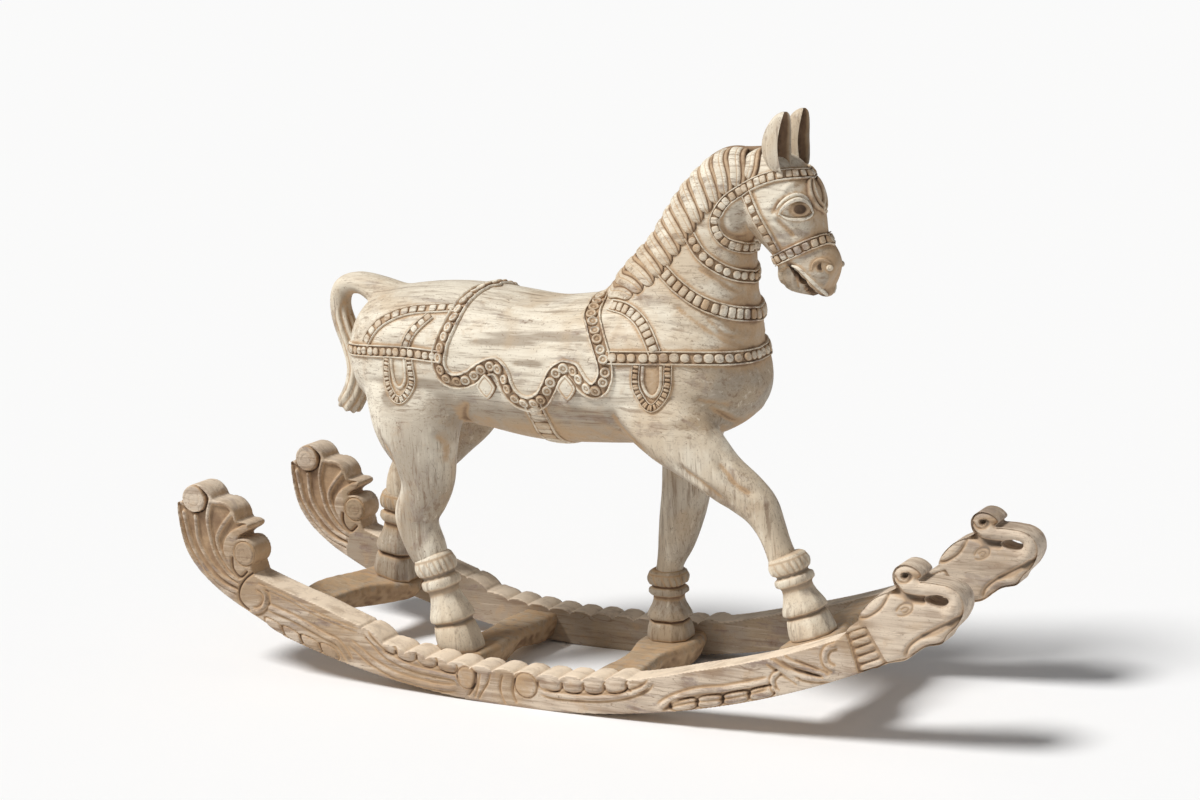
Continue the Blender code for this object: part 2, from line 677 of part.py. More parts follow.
def rocker_relief(sign, cutters):
    """Raised carving on both broad faces of one rocker."""
    tools = []
    for face in (sign, -sign):
        y = sign * 0.5 * ROCKER_SPACING + face * 0.5 * PLANK_THICKNESS
        outward = Vector((0.0, face, 0.0))
        ridges = BOTH_FACE_RIDGES + (OUTER_RIDGES if face == sign else [])
        discs = BOTH_FACE_DISCS + (OUTER_DISCS if face == sign else [])
        for width, pairs in ridges:
            path = smooth_path([Vector((x, y, z)) for x, z in pairs], RIDGE_SPACING)
            profile = [(-0.5 * width, -CARVE_SINK), (0.5 * width, -CARVE_SINK), (0.0, FACE_RELIEF)]
            bm = bmesh.new()
            add_tube(bm, strap_rings([(point, outward) for point in path], profile, False))
            tools.append(new_object("ridge", bm, cutters))
        for x, z, radius in discs:
            bm = bmesh.new()
            depth = CARVE_SINK + FACE_RELIEF
            middle = Vector((x, y + face * (FACE_RELIEF - 0.5 * depth), z))
            bmesh.ops.create_cone(
                bm, cap_ends=True, segments=12, radius1=radius, radius2=radius, depth=depth
            )
            turn = Matrix.Rotation(math.radians(90.0), 3, "X")
            bmesh.ops.rotate(bm, matrix=turn, verts=bm.verts[:])
            bmesh.ops.translate(bm, vec=middle, verts=bm.verts[:])
            tools.append(new_object("disc", bm, cutters))
    return tools


def clean_seams(obj):
    """Merge slivers along the joins and close up pinched edges."""
    bm = bmesh.new()
    bm.from_mesh(obj.data)
    bmesh.ops.remove_doubles(bm, verts=bm.verts[:], dist=SLIVER)
    bmesh.ops.dissolve_degenerate(bm, edges=bm.edges[:], dist=SLIVER)
    bmesh.ops.triangulate(bm, faces=bm.faces[:])
    for _ in range(6):
        pinched = [edge for edge in bm.edges if len(edge.link_faces) != 2]
        if not pinched:
            break
        bmesh.ops.collapse(bm, edges=pinched, uvs=False)
        bmesh.ops.dissolve_degenerate(bm, edges=bm.edges[:], dist=SLIVER)
    bm.to_mesh(obj.data)
    bm.free()


def split_facets(obj):
    """Divide the large flat facets into triangles."""
    bm = bmesh.new()
    bm.from_mesh(obj.data)
    bmesh.ops.triangulate(bm, faces=bm.faces[:])
    bm.to_mesh(obj.data)
    bm.free()


def joined(obj, faces, collection):
    """Apply the unions, then thin the facets: to a number, or only where they lie flat."""
    name = obj.name
    bpy.context.view_layer.update()
    obj = evaluated_copy(obj, name, collection)
    clean_seams(obj)
    thin = obj.modifiers.new("thin_out", "DECIMATE")
    if faces is None:
        thin.decimate_type = "DISSOLVE"
        thin.angle_limit = math.radians(FLAT_ANGLE)
    else:
        thin.ratio = faces / len(obj.data.polygons)
        thin.use_collapse_triangulate = True
    bpy.context.view_layer.update()
    obj = evaluated_copy(obj, name, collection)
    if faces is None:
        split_facets(obj)
    else:
        clean_seams(obj)
    return obj


def crossbar(name, foot, centre_x, collection, waver):
    """Rough-hewn bar under one hoof, from rocker to rocker, wider where the hoof stands."""
    sole, _, along = foot_frame(foot)
    down = Vector((along.z, 0.0, -along.x))
    reach = 0.5 * (ROCKER_SPACING - PLANK_THICKNESS) - JOINT_GAP
    rings = []
    count = 8
    for i in range(count + 1):
        y = -reach + 2.0 * reach * i / count
        near = math.exp(-((y - sole.y) / BAR_FLARE) ** 2)
        half = BAR_HALF + (HOOF_SEAT - BAR_HALF) * near
        shift = (sole.x - centre_x) * (near - 1.0)
        back = shift - half + 0.003 * math.sin(waver + 50.0 * y)
        front = shift + half + 0.003 * math.cos(waver + 40.0 * y)
        depth = BAR_DEPTH + 0.004 * math.sin(2.0 * waver + 45.0 * y)
        profile = [
            (back, 0.0), (front, 0.0), (front + 0.004, 0.012), (front - 0.006, depth),
            (back + 0.006, depth), (back - 0.004, 0.014),
        ]
        top = Vector((sole.x, y, sole.z)) + down * JOINT_GAP
        rings.append([top + along * u + down * v for u, v in profile])
    bm = bmesh.new()
    add_tube(bm, rings)
    return new_object(name, bm, collection)


def build():
    """Model every piece."""
    for obj in list(bpy.data.objects):
        bpy.data.objects.remove(obj)
    parts = bpy.data.collections.new("rocking_horse")
    cutters = bpy.data.collections.new("cutters")
    bpy.context.scene.collection.children.link(parts)
    bpy.context.scene.collection.children.link(cutters)
    limewash = material("limewashed_wood", (0.56, 0.47, 0.36, 1.0), 0.75)
    rail_wood = material("rail_wood", (0.58, 0.46, 0.33, 1.0), 0.70)
    bar_wood = material("rough_bar_wood", (0.50, 0.41, 0.30, 1.0), 0.85)

    horse = carved_body(parts, cutters)
    horse.data.materials.append(limewash)
    bm = bmesh.new()
    bm.from_mesh(horse.data)
    tree = BVHTree.FromBMesh(bm)
    bm.free()
    for tool in strap_tools(tree, cutters) + mane_tools(tree, cutters):
        boolean(horse, tool, "UNION")
    for side in (-1.0, 1.0):
        boolean(horse, ear_tool(side, cutters), "UNION")
        boolean(horse, eye_tool(side, cutters), "UNION")
    boolean(horse, mouth_cutter(cutters), "DIFFERENCE")
    for name, foot in FEET.items():
        bm = bmesh.new()
        add_foot(bm, foot, LEG_SIDES)
        tool = new_object("foot_" + name, bm, cutters)
        boolean(horse, tool, "UNION")
    horse = joined(horse, HORSE_FACES, parts)

    outline = rocker_outline()
    for name, sign in (("right_rocker", -1.0), ("left_rocker", 1.0)):
        plate = outline_plate(name, outline, PLANK_THICKNESS, sign * 0.5 * ROCKER_SPACING, parts)
        weld(plate)
        for tool in rocker_relief(sign, cutters):
            boolean(plate, tool, "UNION")
        plate.data.materials.append(rail_wood)
        joined(plate, None, parts)

    bars = (
        ("rear_crossbar", "far_hind", -0.468, 0.4),
        ("hind_crossbar", "near_hind", -0.185, 1.7),
        ("middle_crossbar", "far_front", 0.078, 2.9),
        ("front_crossbar", "near_front", 0.394, 4.1),
    )
    for name, foot, centre_x, waver in bars:
        bar = crossbar(name, FEET[foot], centre_x, parts, waver)
        bar.data.materials.append(bar_wood)

    # The plume's tip reaches further back than the trunk reaches forward
    base = bpy.data.objects.new("rocking_horse_base", None)
    base.location = (-0.5 * (PLUME_TIP_X + TRUNK_TIP_X), 0.0, 0.0)
    parts.objects.link(base)
    for obj in list(parts.objects):
        if obj is not base:
            obj.parent = base


build()
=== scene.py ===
# Looks of the carved rocking horse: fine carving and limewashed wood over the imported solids
import bpy
import bmesh
import json
import math
import numpy as np
from mathutils import Matrix, Vector, kdtree
from mathutils.bvhtree import BVHTree

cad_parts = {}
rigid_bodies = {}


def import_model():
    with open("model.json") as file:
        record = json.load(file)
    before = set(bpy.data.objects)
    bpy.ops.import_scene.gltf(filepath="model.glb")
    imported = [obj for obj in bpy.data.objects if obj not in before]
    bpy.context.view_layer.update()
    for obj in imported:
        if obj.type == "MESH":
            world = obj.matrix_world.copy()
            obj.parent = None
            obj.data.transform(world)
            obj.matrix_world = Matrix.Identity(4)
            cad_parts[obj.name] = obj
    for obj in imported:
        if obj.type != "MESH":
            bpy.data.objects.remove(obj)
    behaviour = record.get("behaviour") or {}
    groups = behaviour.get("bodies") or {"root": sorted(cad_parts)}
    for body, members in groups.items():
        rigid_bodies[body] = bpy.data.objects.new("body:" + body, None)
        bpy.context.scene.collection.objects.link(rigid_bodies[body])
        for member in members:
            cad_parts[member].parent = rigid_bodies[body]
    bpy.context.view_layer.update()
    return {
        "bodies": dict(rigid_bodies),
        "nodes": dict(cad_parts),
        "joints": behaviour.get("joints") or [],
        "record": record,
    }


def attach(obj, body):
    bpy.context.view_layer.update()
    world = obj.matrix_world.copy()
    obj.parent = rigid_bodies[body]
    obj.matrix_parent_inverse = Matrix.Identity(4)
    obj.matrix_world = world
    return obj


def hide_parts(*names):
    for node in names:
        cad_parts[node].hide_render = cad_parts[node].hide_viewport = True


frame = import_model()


def mm(columns, *numbers, per_metre=1000.0):
    """Rows of lengths, written in millimetres, as rows in metres."""
    metres = [number / per_metre for number in numbers]
    return [tuple(metres[i:i + columns]) for i in range(0, len(metres), columns)]


# Everything is laid out in the drawing frame of the carving and moved by this at the end
SHIFT_X = 0.007
MIRROR = np.array([1.0, -1.0, 1.0])

# Camera, fitted to the photograph
CAM_AZIMUTH = 0.518
CAM_ELEVATION = 0.1922
CAM_ROLL = math.radians(-3.0)
CAM_DISTANCE = 3.433
CAM_TARGET = Vector((0.02 + SHIFT_X, 0.0, 0.433))
FOCAL_PX = 2300.0
IMAGE_WIDTH_PX = 1200.0
SENSOR_MM = 36.0

# Light: a broad sun from above left, a dim white sky and a white backdrop
KEY_FROM = (-0.38, -0.42, 0.82)
KEY_LIGHT = 3.2
KEY_COLOUR = (1.0, 0.985, 0.955)
KEY_SOFTNESS = 17.0
SKY_LIGHT = 0.22
BACKDROP = 0.985
FLOOR_COLOUR = (0.905, 0.915, 0.935, 1.0)
FLOOR_REACH = 400.0

# Body
BODY_VOXEL = 0.0040
SOFTEN = 18
LEG_Y = 0.085
CLOTH_RISE = 0.0022
RAY_START = 0.4
HORSE_SEED, BAR_SEED = 7, 3

# Rockers
ROCKER_Y = 0.150
PLANK = 0.046
ROCKER_RADIUS = 1.379
CONTACT_X = -0.050
FLAT_HALF = 0.060
ROCKER_VOXEL = 0.00175
THIN = 0.55
SCALLOP_START = -0.322
SCALLOP_END = 0.140
SCALLOP_COUNT = 12
SCALLOP_RISE = 0.009
RAIL_DEPTHS = mm(2, -520, 78, -400, 79, -325, 71, -270, 52, 150, 52, 250, 58)

# Loft stations: x, z, half depth along the path's normal, half width in y, y
TORSO = mm(5, -392, 502, 30, 34, 0, -378, 502, 66, 70, 0, -350, 501, 90, 98, 0, -300, 500, 101, 116, 0,
           -220, 501, 105, 122, 0, -140, 492, 105, 120, 0, -50, 480, 107, 120, 0, 40, 484, 110, 122, 0,
           120, 490, 111, 124, 0, 180, 490, 104, 118, 0, 230, 492, 92, 102, 0, 268, 495, 68, 74, 0, 288,
           498, 34, 38, 0)
NECK = mm(5, 150, 490, 95, 100, 0, 163, 540, 122, 98, 0, 184, 597, 111, 79, 0, 203, 648, 85, 63, 0, 220,
          692, 71, 54, 0, 242, 727, 63, 49, 0, 271, 757, 56, 46, 0, 300, 775, 36, 37, 0)
HEAD = mm(5, 290, 793, 20, 24, 0, 304, 778, 42, 39, 0, 320, 753, 56, 47, 0, 334, 723, 59, 49, 0, 348,
          693, 50, 42, 0, 359, 667, 42, 35, 0, 369, 643, 48, 32, 0, 369, 620, 46, 30, 0, 367, 604, 34,
          23, 0)
TAIL = mm(5, -320, 570, 30, 34, 0, -362, 588, 24, 28, 0, -400, 600, 18, 21, 0, -432, 592, 17, 19, 0,
          -442, 562, 16, 19, 0, -434, 530, 16, 20, 0, -422, 500, 16, 21, 0, -414, 465, 17, 22, 0, -421,
          430, 19, 24, 0, -440, 400, 20, 24, 0)
NEAR_HIND = mm(5, -268, 470, 83, 48, -72, -252, 400, 76, 46, -84, -242, 350, 54, 40, -87, -240, 315, 45,
               35, -87, -250, 285, 39, 31, -86, -266, 258, 35, 29, -85, -262, 232, 33, 28, -85, -252,
               208, 32, 28, -85, -243, 186, 28, 26, -85)
FAR_HIND = mm(5, -262, 470, 85, 48, 72, -292, 400, 80, 46, 84, -325, 345, 56, 40, 87, -358, 308, 45, 35,
              87, -385, 282, 37, 31, 86, -400, 260, 32, 29, 85, -408, 232, 28, 26, 85)
NEAR_FRONT = mm(5, 130, 460, 60, 46, -74, 185, 418, 56, 45, -84, 228, 383, 45, 38, -87, 262, 354, 36, 33,
                -87, 296, 330, 32, 30, -86, 319, 309, 28, 27, -85, 334, 282, 22, 23, -85, 344, 256, 20,
                21, -85, 353, 232, 22, 22, -85)
FAR_FRONT = mm(5, 150, 460, 60, 46, 74, 132, 390, 50, 43, 84, 119, 330, 41, 36, 87, 113, 280, 38, 34, 86,
               104, 240, 35, 31, 85, 93, 200, 29, 27, 85, 81, 166, 21, 22, 85, 77, 142, 22, 22, 85)
# Feet: sole centre x, z, y, lean of the pastern, tilt of the sole, height and width factors
FEET = {
    "near_hind": (-0.198, 0.0520, -LEG_Y, -17.0, -2.0, 1.00, 0.93),
    "far_hind": (-0.430, 0.1030, LEG_Y, 8.0, -14.0, 0.96, 0.96),
    "near_front": (0.395, 0.1310, -LEG_Y, -19.0, 17.0, 0.80, 0.87),
    "far_front": (0.076, 0.0470, LEG_Y, 0.0, 0.0, 0.72, 0.93),
}

# Straps: kind of path, width, rise, beads, x-z points down the near side.
# Beads: outline power, half length, half width, pitch and profile.
ROUND, OVAL, SQUARE = 2.0, 2.3, 4.5
STRAPS = {
    "breast_band": ("centre", 0.0205, 0.0036, (OVAL, 0.0074, 0.0066, 0.0156, "dome"), mm(2, 104, 522,
                        154, 523, 206, 523, 252, 520, 280, 516, 300, 512)),
    "crupper": ("centre", 0.0190, 0.0034, (ROUND, 0.0061, 0.0061, 0.0132, "dome"), mm(2, -184, 512, -243,
                        516, -300, 515, -350, 512, -375, 510)),
    "girth": ("centre", 0.0330, 0.0028, (SQUARE, 0.0072, 0.0125, 0.0135, "dome"), mm(2, -26, 446, -20,
                        420, -22, 395, -24, 350)),
    "upper_collar": ("centre", 0.0190, 0.0042, (ROUND, 0.0061, 0.0061, 0.0132, "dome"), mm(2, 211, 690,
                        227, 665, 248, 646, 271, 632, 300, 620)),
    "lower_collar": ("centre", 0.0215, 0.0046, (SQUARE, 0.0054, 0.0078, 0.0126, "dome"), mm(2, 172, 640,
                        196, 620, 228, 598, 262, 582, 304, 568)),
    "cheek_loop": ("loop", 0.0165, 0.0040, (SQUARE, 0.0049, 0.0056, 0.0112, "dome"), mm(2, 377, 772, 357,
                        774, 332, 771, 300, 759, 270, 742, 252, 722, 248, 704, 257, 684, 274, 672, 300,
                        664)),
    "nose_band": ("loop", 0.0165, 0.0040, (SQUARE, 0.0052, 0.0056, 0.0118, "dome"), mm(2, 410, 684, 386,
                        678, 360, 667, 325, 652)),
    "cloth_border": ("loop", 0.0285, 0.0044, (ROUND, 0.0080, 0.0080, 0.0166, "ring"), mm(2, -154, 620,
                        -161, 597, -163, 582, -167, 558, -176, 532, -181, 503, -171, 482, -150, 478,
                        -128, 484, -104, 499, -84, 503, -71, 490, -64, 469, -52, 455, -31, 449, -9, 457,
                        6, 476, 17, 496, 34, 506, 50, 502, 62, 485, 77, 474, 93, 480, 102, 498, 98, 520,
                        87, 541, 74, 560, 58, 581, 44, 620)),
    "shoulder_arc": ("side", 0.0200, 0.0036, (SQUARE, 0.0054, 0.0068, 0.0128, "dome"), mm(2, 86, 588,
                        116, 586, 142, 573, 164, 551, 177, 530)),
    "cheek_strap": ("side", 0.0185, 0.0042, (SQUARE, 0.0056, 0.0056, 0.0160, "dome"), mm(2, 297, 749,
                        309, 723, 321, 698, 334, 668)),
    "rump_arc": ("side", 0.0185, 0.0032, (SQUARE, 0.0060, 0.0058, 0.0150, "dome"), mm(2, -322, 524, -306,
                        548, -280, 565, -240, 576, -172, 580)),
    "rump_branch": ("side", 0.0155, 0.0030, (SQUARE, 0.0052, 0.0050, 0.0130, "dome"), mm(2, -243, 520,
                        -232, 546, -206, 570)),
    "rump_pendant": ("side", 0.0125, 0.0030, (SQUARE, 0.0018, 0.0044, 0.0050, "dome"), mm(2, -276, 507,
                        -279, 470, -256, 441, -234, 470, -235, 507)),
    "chest_pendant": ("side", 0.0125, 0.0030, (SQUARE, 0.0018, 0.0044, 0.0050, "dome"), mm(2, 151, 514,
                        150, 478, 173, 450, 194, 478, 197, 514)),
}
CREST = mm(2, 80, 606, 112, 658, 143, 704, 176, 744, 218, 777, 262, 795, 300, 799)
HAIRLINE = mm(2, 124, 604, 157, 622, 182, 649, 206, 681, 230, 713, 258, 740, 298, 768)
LOCK_COUNT = 14
LOCK_HALF, LOCK_RISE, LOCK_BEND = 0.0128, 0.0056, 0.0045
EAR_SPREAD = 0.0325
EAR_OPENING = math.radians(58.0)
EAR_TURN = {-1.0: math.radians(-13.0), 1.0: math.radians(-8.0)}
EAR = mm(4, 3460, 7760, 60, 50, 3450, 7810, 145, 120, 3430, 7890, 195, 158, 3410, 8030, 228, 182, 3410,
         8190, 230, 182, 3440, 8350, 206, 164, 3480, 8480, 160, 128, 3510, 8560, 108, 86, 3530, 8600, 45,
         36, per_metre=1e4)


# ---------------------------------------------------------------- numbers
def srgb(red, green, blue):
    """Display colour, 0 to 255, as a linear colour."""
    out = []
    for value in (red, green, blue):
        v = value / 255.0
        out.append(v / 12.92 if v <= 0.04045 else ((v + 0.055) / 1.055) ** 2.4)
    return (*out, 1.0)


def smooth(value, low, high):
    """Smooth step from 0 at low to 1 at high."""
    t = np.clip((value - low) / (high - low), 0.0, 1.0)
    return t * t * (3.0 - 2.0 * t)


def bell(value, middle, width):
    """1 at the middle, falling off on both sides."""
    return np.exp(-((value - middle) / width) ** 2)


def spline(points, per=6):
    """Catmull-Rom curve through rows of numbers."""
    rows = np.asarray(points, float)
    padded = np.vstack([2 * rows[0] - rows[1], rows, 2 * rows[-1] - rows[-2]])
    t = np.linspace(0.0, 1.0, per, endpoint=False)[:, None]
    out = []
    for i in range(len(rows) - 1):
        p0, p1, p2, p3 = padded[i:i + 4]
        out.append(0.5 * (2 * p1 + (p2 - p0) * t + (2 * p0 - 5 * p1 + 4 * p2 - p3) * t ** 2
                          + (3 * p1 - p0 - 3 * p2 + p3) * t ** 3))
    out.append(rows[-1:])
    return np.vstack(out)


def even(points, spacing):
    """The same curve at even spacing."""
    rows = np.asarray(points, float)
    run = np.r_[0.0, np.cumsum(np.linalg.norm(np.diff(rows, axis=0), axis=1))]
    count = max(2, int(round(run[-1] / spacing)))
    want = np.linspace(0.0, run[-1], count + 1)
    return np.stack([np.interp(want, run, rows[:, k]) for k in range(rows.shape[1])], 1)


def unit(rows):
    """Rows scaled to length 1."""
    return rows / np.maximum(np.linalg.norm(rows, axis=-1, keepdims=True), 1e-12)


def tangents(rows, closed=False):
    """Unit tangents of a curve."""
    if closed:
        return unit(np.roll(rows, -1, axis=0) - np.roll(rows, 1, axis=0))
    return unit(np.gradient(rows, axis=0))


def track(flat, path, reach):
    """Distance from side-view points to a path, the side they are on, and 0 to 1 along it."""
    path = np.asarray(path, float)
    near = np.full(len(flat), 1.0)
    side = np.zeros(len(flat))
    along = np.zeros(len(flat))
    inside = (flat > path.min(0) - reach) & (flat < path.max(0) + reach)
    pick = np.nonzero(inside.all(1))[0]
    q = flat[pick]
    best = np.full(len(pick), 1.0)
    best_side = np.zeros(len(pick))
    best_along = np.zeros(len(pick))
    spans = np.linalg.norm(np.diff(path, axis=0), axis=1)
    total = spans.sum()
    run = 0.0
    for a, b, span in zip(path[:-1], path[1:], spans):
        ab = (b - a) / max(span, 1e-9)
        t = np.clip((q - a) @ ab, 0.0, span)
        off = q - (a + t[:, None] * ab)
        d = np.hypot(off[:, 0], off[:, 1])
        hit = d < best
        best[hit] = d[hit]
        best_side[hit] = np.sign(ab[0] * off[hit, 1] - ab[1] * off[hit, 0])
        best_along[hit] = (run + t[hit]) / total
        run += span
    near[pick], side[pick], along[pick] = best, best_side, best_along
    return near, side, along


def inside_polygon(flat, polygon):
    """Which side-view points lie inside a closed outline."""
    result = np.zeros(len(flat), bool)
    x, z = flat[:, 0], flat[:, 1]
    rows = np.asarray(polygon, float)
    for (x0, z0), (x1, z1) in zip(rows, np.roll(rows, -1, axis=0)):
        crosses = (z0 > z) != (z1 > z)
        rise = z1 - z0 if z1 != z0 else 1e-12
        result ^= crosses & (x < (x1 - x0) * (z - z0) / rise + x0)
    return result


def fades(along, ends=0.12):
    """1 along a path, falling to 0 at both ends."""
    return smooth(along, 0.0, ends) * smooth(1.0 - along, 0.0, ends)


# ---------------------------------------------------------------- meshes
class Carving:
    """Vertices, faces, and dirt and painted shade of one piece in the making."""

    def __init__(self):
        self.verts = []
        self.faces = []
        self.dirt_and_shade = []
        self.count = 0

    def add(self, verts, faces, dirt_and_shade):
        """Append a patch; faces count from the patch's first vertex."""
        verts = np.asarray(verts, float).reshape(-1, 3)
        base = self.count
        self.verts.append(verts)
        self.faces.extend([tuple(base + i for i in face) for face in faces])
        self.dirt_and_shade.append(np.broadcast_to(np.asarray(dirt_and_shade, float), (len(verts),)))
        self.count += len(verts)

    def tube(self, rings, dirt_and_shade=0.0, closed=False):
        """Skin of closed rings, capped unless it closes on itself."""
        rings = np.asarray(rings, float)
        rows, cols = rings.shape[:2]
        faces = []
        for i in range(rows if closed else rows - 1):
            a, b = i * cols, (i + 1) % rows * cols
            for j in range(cols):
                k = (j + 1) % cols
                faces.append((a + j, a + k, b + k, b + j))
        if not closed:
            faces.append(tuple(range(cols)))
            faces.append(tuple(range((rows - 1) * cols, rows * cols)))
        self.add(rings.reshape(-1, 3), faces, np.broadcast_to(dirt_and_shade, (rows, cols)).reshape(-1))

    def mirrored(self):
        """Add the same again on the other side."""
        verts = np.vstack(self.verts) * MIRROR
        faces = [tuple(reversed(face)) for face in self.faces]
        self.add(verts, faces, np.concatenate(self.dirt_and_shade))


def read_mesh(mesh):
    """Coordinates and vertex normals as arrays."""
    count = len(mesh.vertices)
    co = np.empty(count * 3)
    mesh.vertices.foreach_get("co", co)
    normals = np.empty(count * 3)
    mesh.vertex_normals.foreach_get("vector", normals)
    return co.reshape(-1, 3), normals.reshape(-1, 3)


def store(mesh, name, values):
    """Keep one number a vertex for the material."""
    layer = mesh.attributes.new(name, "FLOAT", "POINT")
    layer.data.foreach_set("value", np.clip(values, 0.0, 1.0).astype(np.float32))


def finished(mesh, dirt_and_shade, edge=0.0, limb=0.0, wear_and_shade=0.0):
    """Keep the four numbers that the wood reads at every vertex."""
    count = len(mesh.vertices)
    for name, values in (("dirt_and_shade", dirt_and_shade), ("edge", edge), ("limb", limb), ("wear_and_shade", wear_and_shade)):
        store(mesh, name, np.broadcast_to(values, (count,)))


def linked(name, data):
    """New object in the scene."""
    obj = bpy.data.objects.new(name, data)
    bpy.context.scene.collection.objects.link(obj)
    return obj


def move(mesh, co):
    """Give the vertices new places."""
    mesh.vertices.foreach_set("co", co.reshape(-1))
    mesh.update()


def new_mesh(name, carving):
    """Mesh with outward faces."""
    mesh = bpy.data.meshes.new(name)
    verts = np.vstack(carving.verts)
    mesh.from_pydata(verts.tolist(), [], carving.faces)
    bm = bmesh.new()
    bm.from_mesh(mesh)
    bmesh.ops.recalc_face_normals(bm, faces=bm.faces[:])
    bm.to_mesh(mesh)
    bm.free()
    return mesh


def place(name, mesh, mat, node, sharp=40.0):
    """Put a finished mesh in the scene as a piece that replaces a CAD node."""
    mesh.name = name
    mesh.transform(Matrix.Translation((SHIFT_X, 0.0, 0.0)))
    mesh.shade_smooth()
    mesh.set_sharp_from_angle(angle=math.radians(sharp))
    mesh.materials.clear()
    mesh.materials.append(mat)
    obj = linked(name, mesh)
    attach(obj, "root")
    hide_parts(node)


def applied(mesh, modifiers):
    """Mesh after a list of (type, settings) modifiers."""
    obj = linked("work", mesh)
    for kind, settings in modifiers:
        modifier = obj.modifiers.new(kind.lower(), kind)
        for key, value in settings.items():
            setattr(modifier, key, value)
    bpy.context.view_layer.update()
    graph = bpy.context.evaluated_depsgraph_get()
    result = bpy.data.meshes.new_from_object(obj.evaluated_get(graph))
    bpy.data.objects.remove(obj)
    return result


def prism(outline, half):
    """Block with a side-view outline."""
    block = Carving()
    block.tube([[(x, y, z) for x, z in outline] for y in (-half, half)])
    return new_mesh("prism", block)


def cut(mesh, outline, half, before=(), after=()):
    """Mesh less a block with a side-view outline, with modifiers before and after."""
    tool = linked("tool", prism(outline, half))
    made = applied(mesh, [*before, ("BOOLEAN", {"operation": "DIFFERENCE", "solver": "MANIFOLD", "object": tool}),
                          *after])
    bpy.data.objects.remove(tool)
    return made


def cavity(mesh, co, normals, rounds):
    """How hollow the surface is at each vertex, in radians or so."""
    edges = np.empty(len(mesh.edges) * 2, int)
    mesh.edges.foreach_get("vertices", edges)
    edges = edges.reshape(-1, 2)
    a, b = edges[:, 0], edges[:, 1]
    lean = unit(co[b] - co[a])
    total = np.zeros(len(co))
    number = np.zeros(len(co))
    np.add.at(total, a, (lean * normals[a]).sum(1))
    np.add.at(total, b, (-lean * normals[b]).sum(1))
    np.add.at(number, a, 1.0)
    np.add.at(number, b, 1.0)
    value = total / np.maximum(number, 1.0)
    for _ in range(rounds):
        spread = np.zeros(len(co))
        np.add.at(spread, a, value[b])
        np.add.at(spread, b, value[a])
        value = 0.5 * value + 0.5 * spread / np.maximum(number, 1.0)
    return value


def superellipse(count, power):
    """Unit outline; power 2 is a circle, larger is squarer."""
    angle = 2.0 * np.pi * (np.arange(count) + 0.5) / count
    c, s = np.cos(angle), np.sin(angle)
    k = 2.0 / power
    return np.sign(c) * np.abs(c) ** k, np.sign(s) * np.abs(s) ** k


# ---------------------------------------------------------------- wood
def node(tree, kind, **settings):
    """Shader node with its settings."""
    made = tree.nodes.new(kind)
    for key, value in settings.items():
        setattr(made, key, value)
    return made


class Shader:
    """Short names for the nodes of one material."""

    def __init__(self, name):
        self.mat = bpy.data.materials.new(name)
        self.mat.use_nodes = True
        self.tree = self.mat.node_tree
        self.bsdf = self.tree.nodes["Principled BSDF"]
        self.coords = node(self.tree, "ShaderNodeTexCoord").outputs["Object"]

    def link(self, value, socket):
        """Feed a socket with an output or a plain value."""
        if isinstance(value, bpy.types.NodeSocket):
            self.tree.links.new(value, socket)
        else:
            socket.default_value = value

    def attribute(self, name):
        """One of the numbers kept at the vertices."""
        return node(self.tree, "ShaderNodeAttribute", attribute_name=name).outputs["Fac"]

    def stretched(self, scale):
        """Object coordinates stretched along the grain."""
        mapping = node(self.tree, "ShaderNodeMapping")
        self.link(self.coords, mapping.inputs["Vector"])
        mapping.inputs["Scale"].default_value = scale
        return mapping.outputs["Vector"]

    def noise(self, vector, scale, detail=3.0, rough=0.55, distortion=0.0):
        """Soft random pattern around one half."""
        made = node(self.tree, "ShaderNodeTexNoise")
        self.link(vector, made.inputs["Vector"])
        for key, value in (("Scale", scale), ("Detail", detail), ("Roughness", rough),
                           ("Distortion", distortion)):
            made.inputs[key].default_value = value
        return made.outputs["Fac"]

    def cells(self, vector, scale):
        """Distance pattern between scattered points."""
        made = node(self.tree, "ShaderNodeTexVoronoi", feature="F1")
        self.link(vector, made.inputs["Vector"])
        made.inputs["Scale"].default_value = scale
        return made.outputs["Distance"]

    def ramp(self, value, low, high, out_low=0.0, out_high=1.0):
        """Smooth step of a value."""
        made = node(self.tree, "ShaderNodeMapRange", interpolation_type="SMOOTHSTEP")
        self.link(value, made.inputs["Value"])
        for key, number in (("From Min", low), ("From Max", high), ("To Min", out_low),
                            ("To Max", out_high)):
            made.inputs[key].default_value = number
        return made.outputs["Result"]

    def maths(self, operation, a, b=0.0):
        """Arithmetic on two values."""
        made = node(self.tree, "ShaderNodeMath", operation=operation)
        self.link(a, made.inputs[0])
        self.link(b, made.inputs[1])
        return made.outputs["Value"]

    def total(self, *terms):
        """Sum of values, each times its share."""
        parts = [self.maths("MULTIPLY", value, share) for value, share in terms]
        while len(parts) > 1:
            parts[:2] = [self.maths("ADD", parts[0], parts[1])]
        return parts[0]

    def coat(self, skin, *layers):
        """Colour under layers, each: value, where it starts, where it is full, how strong, its colour."""
        for value, low, high, most, tint in layers:
            skin = self.mix(self.ramp(value, low, high, 0.0, most), skin, tint)
        return skin

    def mix(self, factor, a, b):
        """Mix of two colours."""
        made = node(self.tree, "ShaderNodeMix", data_type="RGBA", blend_type="MIX")
        self.link(factor, made.inputs["Factor"])
        self.link(a, made.inputs["A"])
        self.link(b, made.inputs["B"])
        return made.outputs["Result"]

    def finish(self, colour, roughness, height):
        """Wire up the surface."""
        self.link(colour, self.bsdf.inputs["Base Color"])
        self.link(roughness, self.bsdf.inputs["Roughness"])
        self.bsdf.inputs["Specular IOR Level"].default_value = WOOD_GLOSS
        bump = node(self.tree, "ShaderNodeBump")
        bump.inputs["Strength"].default_value = BUMP_STRENGTH
        bump.inputs["Distance"].default_value = BUMP_DISTANCE
        self.link(height, bump.inputs["Height"])
        self.link(bump.outputs["Normal"], self.bsdf.inputs["Normal"])
        return self.mat


